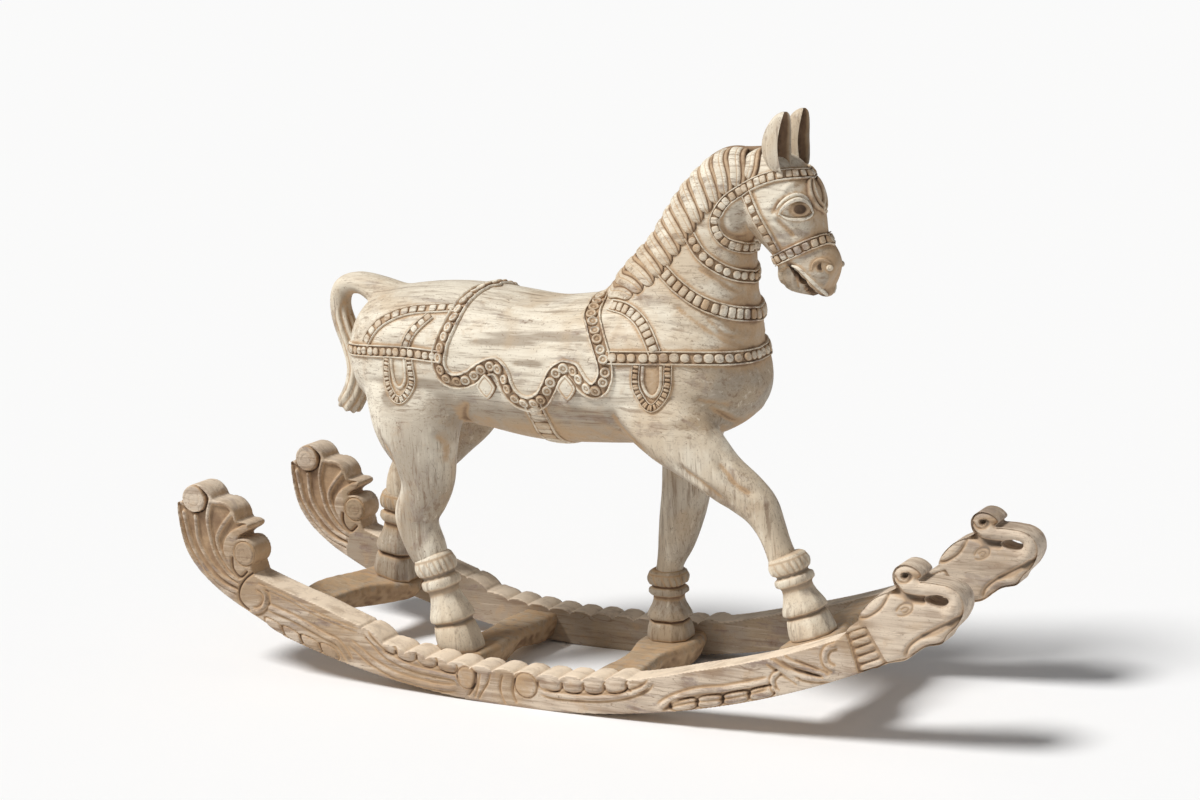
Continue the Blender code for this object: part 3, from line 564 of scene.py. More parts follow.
# Colours of the wood, as they look in even light, and its gloss and fine relief
CREAM = srgb(238, 229, 211)
PALE = srgb(214, 202, 183)
ASH = srgb(176, 163, 147)
TAN = srgb(190, 158, 122)
BROWN = srgb(128, 102, 80)
DARK = srgb(62, 48, 38)
PURPLE = srgb(140, 122, 116)
# Painted shade colour, also the tint of worn patches
SHADE_AND_WEAR = srgb(148, 131, 112)
OCHRE = srgb(206, 178, 140)
WOOD_GLOSS, BUMP_STRENGTH, BUMP_DISTANCE = 0.28, 0.6, 0.0016


def weathered(name, base=PALE, ash=0.5, patch=0.45, warm=0.3, top=CREAM, wash=CREAM):
    """Limewash over carved wood: cream skin, worn brown patches, tan and dark recesses, painted shade and painted
    highlights.
    """
    s = Shader(name)
    limb = s.attribute("limb")
    dirt_and_shade = s.attribute("dirt_and_shade")
    rubbed_and_lit_edge = s.attribute("edge")
    wear_and_shade = s.attribute("wear_and_shade")

    def grained(along, across, detail, distortion):
        lying = s.noise(s.stretched((along, across, across)), 1.0, detail, 0.6, distortion)
        standing = s.noise(s.stretched((across, across, along)), 1.0, detail, 0.6, distortion)
        return s.total((lying, s.maths("SUBTRACT", 1.0, limb)), (standing, limb))

    grain = grained(9.0, 120.0, 4.0, 0.35)
    hair = grained(26.0, 420.0, 3.0, 0.2)
    streak = grained(5.0, 32.0, 5.0, 0.9)
    lines = grained(3.5, 85.0, 4.0, 0.5)
    cloud = s.noise(s.coords, 7.0, 3.0, 0.55, 0.5)
    blotch = s.noise(s.coords, 30.0, 6.0, 0.68, 0.4)
    fleck = s.noise(s.coords, 300.0, 3.0, 0.6)
    speck = s.cells(s.coords, 130.0)
    # Where the wash has worn through, more on what is often touched
    thin = s.total((blotch, 0.38), (streak, 0.62), (s.ramp(wear_and_shade, 0.95, 2.2), 0.09))
    skin = s.mix(s.ramp(s.total((lines, 0.45), (cloud, 0.55)), 0.41, 0.58), base, wash)
    # First layer: worn patches and painted shade darken the wash towards the shade colour
    skin = s.coat(
        skin, (wear_and_shade, 0.10, 0.85, 0.72, SHADE_AND_WEAR), (streak, 0.50, 0.66, ash, ASH),
        (cloud, 0.52, 0.40, 0.30, OCHRE), (blotch, 0.52, 0.68, warm, TAN),
        (thin, 0.555, 0.61, 0.75 * patch, PURPLE), (thin, 0.61, 0.67, 0.9 * patch, BROWN),
        # Fine lines of the grain, pores and scattered specks
        (grain, 0.45, 0.32, 0.55, BROWN), (hair, 0.46, 0.30, 0.50, BROWN),
        (grain, 0.58, 0.72, 0.45, wash), (fleck, 0.40, 0.30, 0.5, BROWN),
        (speck, 0.07, 0.04, 0.5, DARK))
    # Short cracks that follow the grain
    split = s.maths("ABSOLUTE", s.maths("SUBTRACT", grained(7.0, 46.0, 2.0, 0.5), 0.5))
    crack = s.maths("MULTIPLY", s.ramp(split, 0.006, 0.001), s.ramp(streak, 0.46, 0.56))
    skin = s.mix(s.maths("MULTIPLY", crack, 0.65), skin, BROWN)
    # Recesses, dirt and painted shade: tan first, then brown, then dark
    grit = s.maths("MULTIPLY", s.maths("SUBTRACT", blotch, 0.5), 0.9)
    depth = s.maths("ADD", dirt_and_shade, s.maths("MULTIPLY", grit, s.ramp(dirt_and_shade, 0.02, 0.3)))
    skin = s.coat(skin, (depth, 0.05, 0.40, 0.80, TAN), (depth, 0.34, 0.78, 0.88, BROWN),
                  (depth, 0.76, 1.05, 0.85, DARK))
    # Rubbed edges made lighter, and a painted highlight on the upward-facing rocker tops and on the near feet
    rub_and_highlight = s.maths("MULTIPLY", rubbed_and_lit_edge, s.ramp(blotch, 0.36, 0.56, 0.45, 1.0))
    height = s.total((grain, 0.6), (fleck, 0.25), (hair, 0.35), (blotch, 0.7))
    return s.finish(s.mix(rub_and_highlight, skin, top), s.ramp(depth, 0.0, 1.0, 0.60, 0.9), height)


LIMEWASH = weathered("limewashed_wood")
TACK = weathered("carved_tack", warm=0.5, patch=0.7)
MANE_WOOD = weathered("mane_wood", warm=0.5)
RAIL = weathered("rail_wood", base=srgb(150, 127, 108), ash=0.40, patch=0.80, warm=0.4,
                 top=srgb(238, 220, 197), wash=srgb(214, 197, 177))
BAR = weathered("rough_bar_wood", base=srgb(162, 143, 121), ash=0.6, patch=0.60, warm=0.4,
                top=srgb(226, 206, 176), wash=srgb(212, 196, 172))


# ---------------------------------------------------------------- horse
def loft_rings(stations, sides, power, per=6):
    """Rings of a limb through its stations."""
    rows = spline(stations, per)
    path = rows[:, [0, 4, 1]]
    direction = tangents(path)
    side = np.array([0.0, 1.0, 0.0])
    normal = unit(np.cross(side, direction))
    u, v = superellipse(sides, power)
    return (path[:, None, :] + normal[:, None, :] * (rows[:, 2, None] * u)[:, :, None]
            + side * (rows[:, 3, None] * v)[:, :, None])


def stance(stations):
    """Leg stations with the hip fixed and the foot at its place between the rockers."""
    foot_y = stations[-1][4]
    shift = math.copysign(LEG_Y, foot_y) - foot_y
    top, low = stations[0][1], stations[-1][1]
    return [(x, z, a, b, y + shift * (top - z) / (top - low)) for x, z, a, b, y in stations]


MAGNIFY = 0.6


def magnified(co, back=False):
    """Stretch the head and the tail, so that they get finer voxels; or the way back."""
    x, y, z = co[:, 0].copy(), co[:, 1].copy(), co[:, 2].copy()
    if back:
        z = np.where(z > 0.60, (z + MAGNIFY * 0.60) / (1.0 + MAGNIFY), z)
    high = smooth(z, 0.56, 0.64) * MAGNIFY
    low = smooth(z, 0.34, 0.40) * (1.0 - smooth(z, 0.56, 0.64)) * MAGNIFY + high
    if back:
        x = np.where(x > 0.215, (x + high * 0.215) / (1.0 + high), x)
        x = np.where(x < -0.385, (x - low * 0.385) / (1.0 + low), x)
    wide = 1.0 + MAGNIFY * smooth(z, 0.60, 0.66)
    wide = wide * (1.0 + low * smooth(-x, 0.375, 0.400) * (1.0 - smooth(z, 0.560, 0.600)))
    if back:
        y = y / wide
    else:
        y = y * wide
        x = x + high * np.maximum(x - 0.215, 0.0) - low * np.maximum(-0.385 - x, 0.0)
        z = z + MAGNIFY * np.maximum(z - 0.60, 0.0)
    return np.stack([x, y, z], 1)


# Hollows and creases carved in the body: x-z points, half width, depth
CREASES = [
    (mm(2, 262, 388, 282, 364, 294, 350, 310, 339, 329, 330), 0.0050, 0.0046),
    (mm(2, 205, 376, 234, 355, 258, 338, 286, 316), 0.0050, 0.0034),
    (mm(2, 235, 455, 247, 450, 259, 428, 262, 405), 0.005, 0.0030),
    (mm(2, 224, 463, 252, 457, 276, 447), 0.004, 0.0022),
    (mm(2, -138, 447, -163, 419, -176, 392), 0.007, 0.0030),
    (mm(2, -205, 400, -190, 370, -196, 335), 0.007, 0.0022),
    (mm(2, -300, 385, -283, 350, -287, 310), 0.006, 0.0020),
    (mm(2, 100, 452, 112, 420, 140, 395, 166, 378), 0.007, 0.0026),
    (mm(2, 212, 649, 240, 635, 269, 611, 282, 598), 0.004, 0.0018),
    (mm(2, 262, 735, 258, 712, 264, 694, 280, 686, 296, 694), 0.004, 0.0022),
    (mm(2, 338, 716, 350, 704, 361, 692, 368, 684), 0.0036, 0.0030),
    (mm(2, 332, 716, 338, 725, 347, 738, 360, 750), 0.0036, 0.0016),
    (mm(2, 361, 640, 359, 622, 358, 600), 0.0036, 0.0030),
    (mm(2, 374, 632, 373, 616, 371, 598), 0.0032, 0.0034),
    (mm(2, 183, 606, 202, 587, 230, 566, 261, 543, 286, 524), 0.004, 0.0010),
    (mm(2, 231, 579, 247, 566, 258, 553, 271, 545, 283, 544), 0.003, 0.0020),
]
RIDGES = [
    (mm(2, 190, 612, 214, 592, 242, 571, 268, 549, 292, 532), 0.005, 0.0030),
    (mm(2, 357, 647, 366, 645, 375, 640, 386, 629, 396, 618, 401, 608),
     0.0030, 0.0022),
    (mm(2, 350, 732, 356, 756, 372, 764), 0.004, 0.0016),
    (mm(2, 268, 728, 282, 733, 297, 722, 297, 702, 284, 694), 0.006, 0.0012),
]
CLOTH_OUTLINE = [(x, z + (0.3 if z > 0.61 else 0.0)) for x, z in STRAPS["cloth_border"][4]]
JAW = mm(2, 352, 647, 366, 638, 380, 622, 392, 604, 392, 580, 300, 580, 320, 630)


def carve_body(co, normals):
    """Heights of the shallow forms on the body, and the dirt and painted shade in them."""
    flat = co[:, [0, 2]]
    outward = smooth(np.abs(normals[:, 1]), 0.05, 0.35) * (np.sign(normals[:, 1]) == np.sign(co[:, 1]))
    height = np.zeros(len(co))
    dirt_and_shade = np.zeros(len(co))
    near_leg = (co[:, 1] < 0) | (co[:, 2] > 0.42)
    for path, width, depth in CREASES:
        curve = spline(path, 4)
        d, _, along = track(flat, curve, 0.03)
        amount = bell(d, 0.0, width) * fades(along, 0.25) * outward * near_leg
        lip = bell(d, 2.1 * width, width) * fades(along, 0.25) * outward * near_leg
        height += depth * (0.45 * lip - amount)
        dirt_and_shade += 0.55 * amount ** 2
    for path, width, rise in RIDGES:
        d, _, along = track(flat, spline(path, 4), 0.02)
        height += rise * bell(d, 0.0, width) * fades(along, 0.2) * outward
    cloth = inside_polygon(flat, CLOTH_OUTLINE) & (co[:, 2] > 0.44)
    height += CLOTH_RISE * cloth
    jaw = inside_polygon(flat, JAW)
    jaw_edge, _, _ = track(flat, JAW[:4], 0.04)
    height -= 0.0052 * jaw * smooth(jaw_edge, 0.0, 0.004) * outward * (co[:, 0] > 0.33)
    # Long strands of the tail
    rows = spline(TAIL, 8)
    path = rows[:, [0, 1]]
    d, side, along = track(flat, path, 0.05)
    tail = (d < 0.045) & (co[:, 0] < -0.352) & (along > 0.36)
    around = np.arctan2(co[:, 1], side * d + 1e-9)
    wave = np.cos(9.0 * around + 10.0 * along + 0.8 * np.sin(14.0 * along))
    swell = smooth(along, 0.42, 0.56)
    height += np.where(tail, (0.0016 * wave - 0.0004) * swell, 0.0)
    dirt_and_shade += np.where(tail, 0.55 * smooth(-wave, 0.35, 1.0) * swell, 0.0)
    return height, dirt_and_shade


# Front of the muzzle in side view, from the pointed lip up: x, z, and how softly it is cut
MUZZLE = np.array(mm(2, 396, 590, 401.5, 602, 399.5, 612, 408, 628, 416, 645, 418, 660))
MUZZLE_SOFT = 0.005
MOUTH = mm(2, 349, 650, 400, 596, 386, 590, 372, 618)

# Worn patches and painted shade on the near side; the broad ones with amounts under 1, on legs, belly, thigh, chest,
# jaw and cheek, are painted shade: x, z, half length, half height, amount
WORN_AND_SHADED = [
    (-0.010, 0.546, 0.075, 0.0045, 2.6), (-0.075, 0.536, 0.045, 0.0035, 2.6), (-0.030, 0.508, 0.022, 0.0035, 2.4),
    (-0.240, 0.470, 0.060, 0.006, 1.6), (0.020, 0.438, 0.026, 0.007, 2.4), (0.264, 0.318, 0.014, 0.022, 2.2),
    (0.255, 0.430, 0.040, 0.006, 2.0), (-0.275, 0.445, 0.012, 0.010, 2.0),
    (-0.262, 0.235, 0.014, 0.036, 2.4), (-0.245, 0.330, 0.040, 0.060, 0.35), (-0.180, 0.420, 0.050, 0.040, 0.5),
    (0.110, 0.300, 0.040, 0.110, 0.55), (0.000, 0.430, 0.110, 0.020, 0.6), (-0.370, 0.300, 0.060, 0.060, 0.5),
    (0.385, 0.632, 0.040, 0.030, 0.6), (0.345, 0.612, 0.030, 0.026, 0.7), (-0.255, 0.395, 0.060, 0.055, 0.45),
    (-0.225, 0.285, 0.045, 0.060, 0.45), (0.270, 0.470, 0.040, 0.050, 0.35), (0.300, 0.690, 0.040, 0.040, 0.25),
]


def worn_and_shaded(co, normals):
    """How much the wash is darkened at each point: rubbed patches, broad patches of painted shade, and painted shade on
    downward-facing undersides and forward-facing sides.
    """
    total = np.zeros(len(co))
    for x, z, half_x, half_z, amount in WORN_AND_SHADED:
        r = ((co[:, 0] - x) / half_x) ** 2 + ((co[:, 2] - z) / half_z) ** 2
        total += amount * np.exp(-r)
    # Painted shade: darker on downward-facing undersides and on forward-facing sides above the legs
    total += 0.62 * smooth(-normals[:, 2], -0.05, 0.70)
    total += 0.55 * smooth(normals[:, 0], 0.15, 0.85) * smooth(co[:, 2], 0.38, 0.46)
    return total


def body_mesh():
    """Fused and rounded body, with its shallow carving."""
    block = Carving()
    block.tube(loft_rings(TORSO, 48, 2.3))
    block.tube(loft_rings(NECK, 40, 2.1))
    block.tube(loft_rings(HEAD, 40, 2.2))
    block.tube(loft_rings(TAIL, 32, 2.0))
    for leg in (NEAR_HIND, FAR_HIND, NEAR_FRONT, FAR_FRONT):
        block.tube(loft_rings(stance(leg), 32, 2.1))
    block.verts = [magnified(np.vstack(block.verts))]
    mesh = new_mesh("block", block)
    mesh = applied(mesh, [
        ("REMESH", {"mode": "VOXEL", "voxel_size": BODY_VOXEL}),
        ("SMOOTH", {"factor": 0.5, "iterations": SOFTEN}),
    ])
    co, _ = read_mesh(mesh)
    move(mesh, magnified(co, back=True))
    # The mouth is cut before the shallow forms
    mesh = cut(mesh, MOUTH, 0.06)
    co, normals = read_mesh(mesh)
    height, dirt_and_shade = carve_body(co, normals)
    co = co + normals * height[:, None]
    limit = np.interp(co[:, 2], MUZZLE[:, 1], MUZZLE[:, 0]) - MUZZLE_SOFT
    over = np.where(co[:, 2] > MUZZLE[0, 1], np.maximum(co[:, 0] - limit, 0.0), 0.0)
    below = smooth(MUZZLE[-1, 1] - co[:, 2], 0.0, 0.006)
    co[:, 0] -= over * below
    co[:, 0] += MUZZLE_SOFT * np.tanh(over / MUZZLE_SOFT) * below
    move(mesh, co)
    return mesh, dirt_and_shade


def tree_of(mesh):
    """Search tree of a mesh."""
    bm = bmesh.new()
    bm.from_mesh(mesh)
    tree = BVHTree.FromBMesh(bm)
    bm.free()
    return tree


def nearest(tree, rows):
    """Closest surface points and their normals."""
    points, normals = [], []
    for row in rows:
        hit = tree.find_nearest(Vector(row))
        points.append(hit[0])
        normals.append(hit[1])
    return np.array(points), np.array(normals)


def cast(tree, x, z, side, miss=0.0):
    """Where a ray from the side meets the body, or else the skin nearest to y = miss."""
    hit = tree.ray_cast(Vector((x, side * RAY_START, z)), Vector((0.0, -side, 0.0)))
    return tree.find_nearest(Vector((x, miss, z))) if hit[0] is None else hit


def draped(tree, pairs, side=-1.0):
    """Side-view points laid on the body; a miss falls on the centre line."""
    points = []
    for x, z in spline(pairs, 6):
        hit = tree.ray_cast(Vector((x, side * RAY_START, z)), Vector((0.0, -side, 0.0)))
        if hit[0] is None:
            hit = tree.find_nearest(Vector((x, 0.0, z)))
            points.append((hit[0].x, 0.0, hit[0].z))
        else:
            points.append(tuple(hit[0]))
    return np.array(points)


def averaged(rows, rounds, closed):
    """Rows smoothed along the path."""
    for _ in range(rounds):
        if closed:
            rows = 0.25 * np.roll(rows, 1, 0) + 0.5 * rows + 0.25 * np.roll(rows, -1, 0)
        else:
            inner = 0.25 * rows[:-2] + 0.5 * rows[1:-1] + 0.25 * rows[2:]
            rows = np.vstack([rows[:1], inner, rows[-1:]])
    return rows


def surface_path(tree, kind, pairs, spacing=0.003, side=-1.0):
    """Path on the body with its normals; 'centre' and 'loop' paths cross the centre line."""
    half = draped(tree, pairs, side)
    closed = kind == "loop"
    if kind == "side":
        path = half
    else:
        half[-1, 1] = 0.0
        if closed:
            half[0, 1] = 0.0
        path = np.vstack([half, (half * MIRROR)[::-1][1:]])
    for _ in range(4):
        path = even(path, spacing)
        path = averaged(path, 2, False)
        path, normals = nearest(tree, path)
    path = even(path, spacing)
    path, normals = nearest(tree, path)
    if closed:
        path, normals = path[:-1], normals[:-1]
    normals = unit(averaged(normals, 6, closed))
    return path, normals, closed


# Strap section: across (1 is the edge), above the surface (1 is the rise), dirt and painted shade
SECTION = [
    (-1.00, -1.2, 0.80), (-1.00, 0.35, 0.25), (-0.95, 0.88, 0.02), (-0.87, 1.00, 0.0),
    (-0.79, 0.90, 0.05), (-0.74, 0.30, 0.70), (-0.40, 0.16, 0.50), (0.40, 0.16, 0.50),
    (0.74, 0.30, 0.70), (0.79, 0.90, 0.05), (0.87, 1.00, 0.0), (0.95, 0.88, 0.02),
    (1.00, 0.35, 0.25), (1.00, -1.2, 0.80),
]


def strap(carving, tree, path, normals, closed, width, rise, section=SECTION):
    """Raised band with two rims along a path; returns the directions along and across it."""
    along = tangents(path, closed)
    across = unit(np.cross(normals, along))
    table = np.array(section)
    rings = np.empty((len(path), len(table), 3))
    for j, (u, v, _) in enumerate(table):
        base, _ = nearest(tree, path + across * (0.5 * width * u))
        rings[:, j] = base + normals * (rise * v if v > 0 else 0.003 * v)
    carving.tube(rings, np.broadcast_to(table[:, 2], rings.shape[:2]), closed)
    return along, across


PROFILES = {
    "dome": [(1.0, -0.8, 0.9), (1.0, 0.20, 0.60), (0.93, 0.62, 0.16), (0.78, 0.90, 0.0),
             (0.50, 1.00, 0.0)],
    "ring": [(1.0, -0.8, 0.9), (1.0, 0.20, 0.6), (0.94, 0.76, 0.10), (0.82, 1.0, 0.0),
             (0.66, 0.92, 0.02), (0.50, 0.62, 0.28), (0.36, 0.52, 0.50), (0.24, 0.66, 0.25)],
    "plate": [(1.0, -2.2, 1.0), (1.0, 0.45, 0.75), (0.94, 0.92, 0.1), (0.84, 1.0, 0.0),
              (0.74, 0.74, 0.45), (0.60, 0.80, 0.10)],
}
CROWN = {"dome": 1.0, "ring": 0.80, "plate": 0.9}


def bead(carving, centre, normal, along, across, power, length, width, rise, profile, sides=14,
         added_dirt_and_shade=0.0):
    """Raised bead with a rounded edge."""
    table = PROFILES[profile]
    u, v = superellipse(sides, power)
    rows, dirt_and_shade = [], []
    for radius, level, grime_and_shade in table:
        rows.append(centre + along * (u * radius * length)[:, None]
                    + across * (v * radius * width)[:, None] + normal * (level * rise))
        dirt_and_shade.append(np.full(sides, grime_and_shade + added_dirt_and_shade))
    verts = np.vstack(rows + [[centre + normal * (CROWN[profile] * rise)]])
    faces = [tuple(range(sides))]
    for i in range(len(table) - 1):
        for j in range(sides):
            k = (j + 1) % sides
            faces.append((i * sides + j, i * sides + k, (i + 1) * sides + k, (i + 1) * sides + j))
    last, tip = (len(table) - 1) * sides, len(table) * sides
    faces += [(last + j, last + (j + 1) % sides, tip) for j in range(sides)]
    carving.add(verts, faces, np.concatenate(dirt_and_shade + [[added_dirt_and_shade]]))


def bead_row(carving, path, normals, along, across, closed, spec, rise, rng, added_dirt_and_shade=0.0):
    """Beads at even pitch along a strap."""
    power, length, width, pitch, profile = spec
    run = np.r_[0.0, np.cumsum(np.linalg.norm(np.diff(path, axis=0), axis=1))]
    total = run[-1] + (np.linalg.norm(path[0] - path[-1]) if closed else 0.0)
    count = max(1, int(round(total / pitch)))
    for i in range(count):
        s = total * (i + 0.5) / count
        k = min(int(np.searchsorted(run, s)), len(path) - 1)
        size = 1.0 + rng.uniform(-0.07, 0.07)
        drift = across[k] * rng.uniform(-0.0004, 0.0004)
        bead(carving, path[k] + drift + normals[k] * rise * 0.2, normals[k], along[k], across[k],
             power, length * size, width * size, rise * 1.05, profile,
             added_dirt_and_shade=added_dirt_and_shade + max(0.0, rng.uniform(-0.10, 0.30)))


def carve_straps(tree, rng):
    """All bead-edged tack."""
    tack = Carving()
    edges = []
    for name, (kind, width, rise, beads, pairs) in STRAPS.items():
        sides = (-1.0, 1.0) if kind == "side" else (-1.0,)
        for side in sides:
            path, normals, closed = surface_path(tree, kind, pairs, side=side)
            along, across = strap(tack, tree, path, normals, closed, width, rise)
            bead_row(tack, path, normals, along, across, closed, beads, rise, rng,
                     0.20 if name == "chest_pendant" else 0.0)
            edges.append(path + across * 0.5 * width)
            edges.append(path - across * 0.5 * width)
    return tack, edges


def crown_line(tree, count):
    """Points along the middle of the neck's crest."""
    crest = even(spline(CREST, 20), 0.001)
    rows = crest[np.linspace(0, len(crest) - 1, count).astype(int)]
    lean = tangents(rows)
    out = rows + 0.03 * np.stack([-lean[:, 1], lean[:, 0]], 1)
    points, _ = nearest(tree, np.stack([out[:, 0], np.zeros(count), out[:, 1]], 1))
    points[:, 1] = 0.0
    return rows, points


def lock(carving, tree, crown, top, foot, side, rise):
    """One curved lock of the mane, a broad and a thin strand, from the crest's middle to the hairline."""
    line = foot - top
    bend = unit(np.array([-line[1], line[0]])) * LOCK_BEND
    t = np.linspace(0.0, 1.0, 16)
    curve = top + line * t[:, None] + bend * np.sin(np.pi * t)[:, None]
    points = [crown] + [tuple(cast(tree, x, z, side, side * 0.01)[0]) for x, z in curve]
    path = even(np.array(points), 0.0030)
    for _ in range(2):
        path = averaged(path, 2, False)
        path, normals = nearest(tree, path)
    normals = unit(averaged(normals, 6, False))
    along = tangents(path)
    across = unit(np.cross(normals, along))
    run = np.linspace(0.0, 1.0, len(path))
    tip = np.sqrt(np.clip(1.03 - run ** 14, 0.03, 1.0))
    width = (LOCK_HALF - 0.0006 * run) * tip
    u = np.linspace(-1.0, 1.0, 21)
    level = np.where(u < 0.36, np.sqrt(np.clip(1.0 - ((u + 0.30) / 0.70) ** 4, 0.03, 1.0)),
                     0.66 * np.sqrt(np.clip(1.0 - ((u - 0.68) / 0.33) ** 2, 0.03, 1.0)))
    level = level - 0.16 * bell(u, -0.12, 0.07)
    grime_and_shade = np.clip(0.98 - 1.25 * level, 0.0, 1.0) + 0.30 * (u > 0.36)
    grime_and_shade = grime_and_shade + 0.40 * bell(u, -0.12, 0.07)
    rings = np.empty((len(path), len(u) + 2, 3))
    fall = rise * (0.55 + 0.45 * smooth(run, 0.0, 0.25)) * tip
    for k, uk in enumerate(u):
        rings[:, k + 1] = path + across * (width * uk)[:, None] + normals * (fall * level[k])[:, None]
    sink = normals * 0.006
    rings[:, 0] = path - across * width[:, None] - sink
    rings[:, -1] = path + across * width[:, None] - sink
    rim = 0.75 * bell(run, 0.0, 0.055) + 0.25 * smooth(run, 0.90, 1.0)
    carving.tube(rings, np.r_[0.9, grime_and_shade, 0.9][None] + rim[:, None])


def carve_mane(tree, rng):
    """Locks down both sides of the neck and a roll along the crest between them."""
    mane = Carving()
    tops, crowns = crown_line(tree, LOCK_COUNT)
    ends = even(spline(HAIRLINE, 20), 0.001)
    ends = ends[np.linspace(0, len(ends) - 1, LOCK_COUNT).astype(int)]
    for side in (-1.0, 1.0):
        for crown, top, foot in zip(crowns, tops, ends):
            rise = LOCK_RISE * (0.55 + 0.45 * float(smooth(foot[1], 0.56, 0.66)))
            lock(mane, tree, crown, top, foot, side, rise + rng.uniform(-0.0006, 0.0006))
    _, roll = crown_line(tree, 30)
    rod(mane, roll, np.full(30, 0.0046), 10, 0.66, (0.0, 1.0, 0.0))
    return mane


def carve_ear(carving, side):
    """Leaf-shaped ear, hollowed towards the front, with painted shade darkening the hollow."""
    rows = spline(EAR, 6)
    outer = np.linspace(EAR_OPENING, 2.0 * np.pi - EAR_OPENING, 22)
    rim_x, rim_y = math.cos(EAR_OPENING), math.sin(EAR_OPENING)
    turn = EAR_TURN[side]
    rings, dirt_and_shade = [], []
    for i, (x, z, depth, width) in enumerate(rows):
        run = i / (len(rows) - 1)
        y = side * (EAR_SPREAD - 0.001 * run)
        ring = [(depth * math.cos(a), width * math.sin(a), z) for a in outer]
        grime_and_shade = [0.0] * len(outer)
        deep = 0.40 * smooth(run, 0.03, 0.2)
        for step in range(1, 9):
            b = math.pi * (step / 9.0)
            inner_y = width * rim_y * (-math.cos(b)) * (1.0 + 0.22 * math.sin(b))
            inner_x = depth * (rim_x - (rim_x + deep) * math.sin(b) ** 0.8)
            ring.append((inner_x, inner_y, z))
            grime_and_shade.append(math.sin(b) ** 0.30)
        rings.append([(x + u * math.cos(turn) - v * math.sin(turn),
                       y + u * math.sin(turn) + v * math.cos(turn), w) for u, v, w in ring])
        dirt_and_shade.append(grime_and_shade)
    carving.tube(rings, np.array(dirt_and_shade))


def rod(carving, points, radii, sides=10, dirt_and_shade=0.0, lift=(0.0, -1.0, 0.0)):
    """Tapered rod along 3-D points."""
    path = spline(points, 5)
    size = spline(np.asarray(radii, float)[:, None], 5)[:, 0]
    along = tangents(path)
    across = unit(np.cross(np.array(lift), along))
    normal = np.cross(along, across)
    angle = 2.0 * np.pi * np.arange(sides) / sides
    rings = (path[:, None] + across[:, None] * (size[:, None] * np.cos(angle))[:, :, None]
             + normal[:, None] * (size[:, None] * np.sin(angle))[:, :, None])
    carving.tube(rings, dirt_and_shade)


def facing(out):
    """Unit direction with its right and up."""
    out = unit(np.array(out))
    right = unit(np.cross(out, np.array([0.0, 0.0, 1.0])))
    return out, right, np.cross(right, out)


def eyeball(carving):
    """Bulging near eye with a cut ring round the iris."""
    centre = np.array([0.371, -0.0320, 0.7265])
    out, right, up = facing([0.55, -1.0, 0.02])
    rows, dirt_and_shade = [], []
    polar = np.linspace(0.06, 0.95, 16) * 0.5 * np.pi * 1.15
    angle = 2.0 * np.pi * np.arange(28) / 28
    for p in polar:
        ring_cut = math.exp(-((p - 0.60) / 0.08) ** 2)
        radius = 0.0135 * (1.0 - 0.05 * ring_cut - 0.03 * (p < 0.2))
        rows.append(centre + out * radius * math.cos(p) * 0.85
                    + (right * np.cos(angle)[:, None] * 1.15 + up * np.sin(angle)[:, None] * 0.88)
                    * radius * math.sin(p))
        dirt_and_shade.append(np.full(28, 0.30 * ring_cut + 0.80 * (p < 0.56) + 0.42))
    carving.tube(np.array(rows), np.array(dirt_and_shade))


UPPER_LID = mm(3, 346, 720, -46.5, 352, 728, -46.5, 362, 736.5, -44.5, 374, 741, -39, 384, 737.5, -32,
               390, 729, -26.5, 392, 719.5, -24.5)
LOWER_LID = mm(3, 348, 720.5, -46.5, 357, 715, -44.5, 369, 712.5, -40, 380, 713, -33.5, 388, 716, -27.5,
               392, 721, -24.5)
LIP_EDGE = mm(3, 356, 647, -33, 366, 644, -32, 376, 636, -30, 387, 625, -27, 396, 613, -21, 400, 603,
              -12)
NOSTRIL = mm(3, 385, 641, -30, 388, 650, -28.5, 395, 655, -25, 404, 654, -21.5, 410, 649, -18)


def on_body(tree, points, sink=0.0):
    """Points, given as x, z, y, moved to the body's skin and lowered a little."""
    rows = np.array([(x, y, z) for x, z, y in points])
    base, normals = nearest(tree, rows)
    return base - normals * sink


def carve_face(tree):
    """Eyes under double lids, nostril hooks and lip edges."""
    face = Carving()
    eyeball(face)
    upper = on_body(tree, UPPER_LID, 0.0002)
    upper[1:-1] += np.array([0.0006, -0.0036, 0.0])
    rod(face, upper, [0.0010, 0.0022, 0.0028, 0.0030, 0.0028, 0.0022, 0.0010])
    brow = on_body(tree, [(x - 0.0035, z + 0.0062, y) for x, z, y in UPPER_LID], 0.0004)
    rod(face, brow, [0.0008, 0.0022, 0.0027, 0.0028, 0.0026, 0.0020, 0.0008])
    lower = on_body(tree, LOWER_LID, 0.0002)
    lower[1:-1] += np.array([0.0004, -0.0024, 0.0])
    rod(face, lower, [0.0010, 0.0018, 0.0022, 0.0022, 0.0020, 0.0010])
    rod(face, on_body(tree, NOSTRIL, 0.0004), [0.0010, 0.0020, 0.0025, 0.0022, 0.0010], dirt_and_shade=0.45)
    ball = on_body(tree, [(0.4075, 0.6430, -0.0190)], 0.0)[0]
    steps = mm(3, -22, 16, 0, -10, 2, 0, 22, -16, 0, 34, -30, 0, per_metre=1e4)
    rod(face, [ball + np.array(step) for step in steps], [0.0026, 0.0044, 0.0042, 0.0018], 14)
    rod(face, on_body(tree, LIP_EDGE, 0.0004), [0.0014, 0.0026, 0.0030, 0.0032, 0.0030, 0.0020])
    # The nostril's hole is a low disc coloured dark: a painted shadow in place of a hole
    hole = on_body(tree, [(0.3965, 0.6455, -0.0245)], 0.0)[0]
    out, right, up = facing([0.75, -0.65, 0.05])
    a = 2.0 * np.pi * np.arange(14) / 14
    face.tube([hole + out * lift + (right * np.cos(a)[:, None] + up * np.sin(a)[:, None]) * radius
               for radius, lift in mm(2, 56, -20, 56, 5, 40, 6, 16, 4, per_metre=1e4)],
              np.repeat([[0.7], [0.7], [0.95], [1.0]], 14, axis=1))
    face.mirrored()
    return face


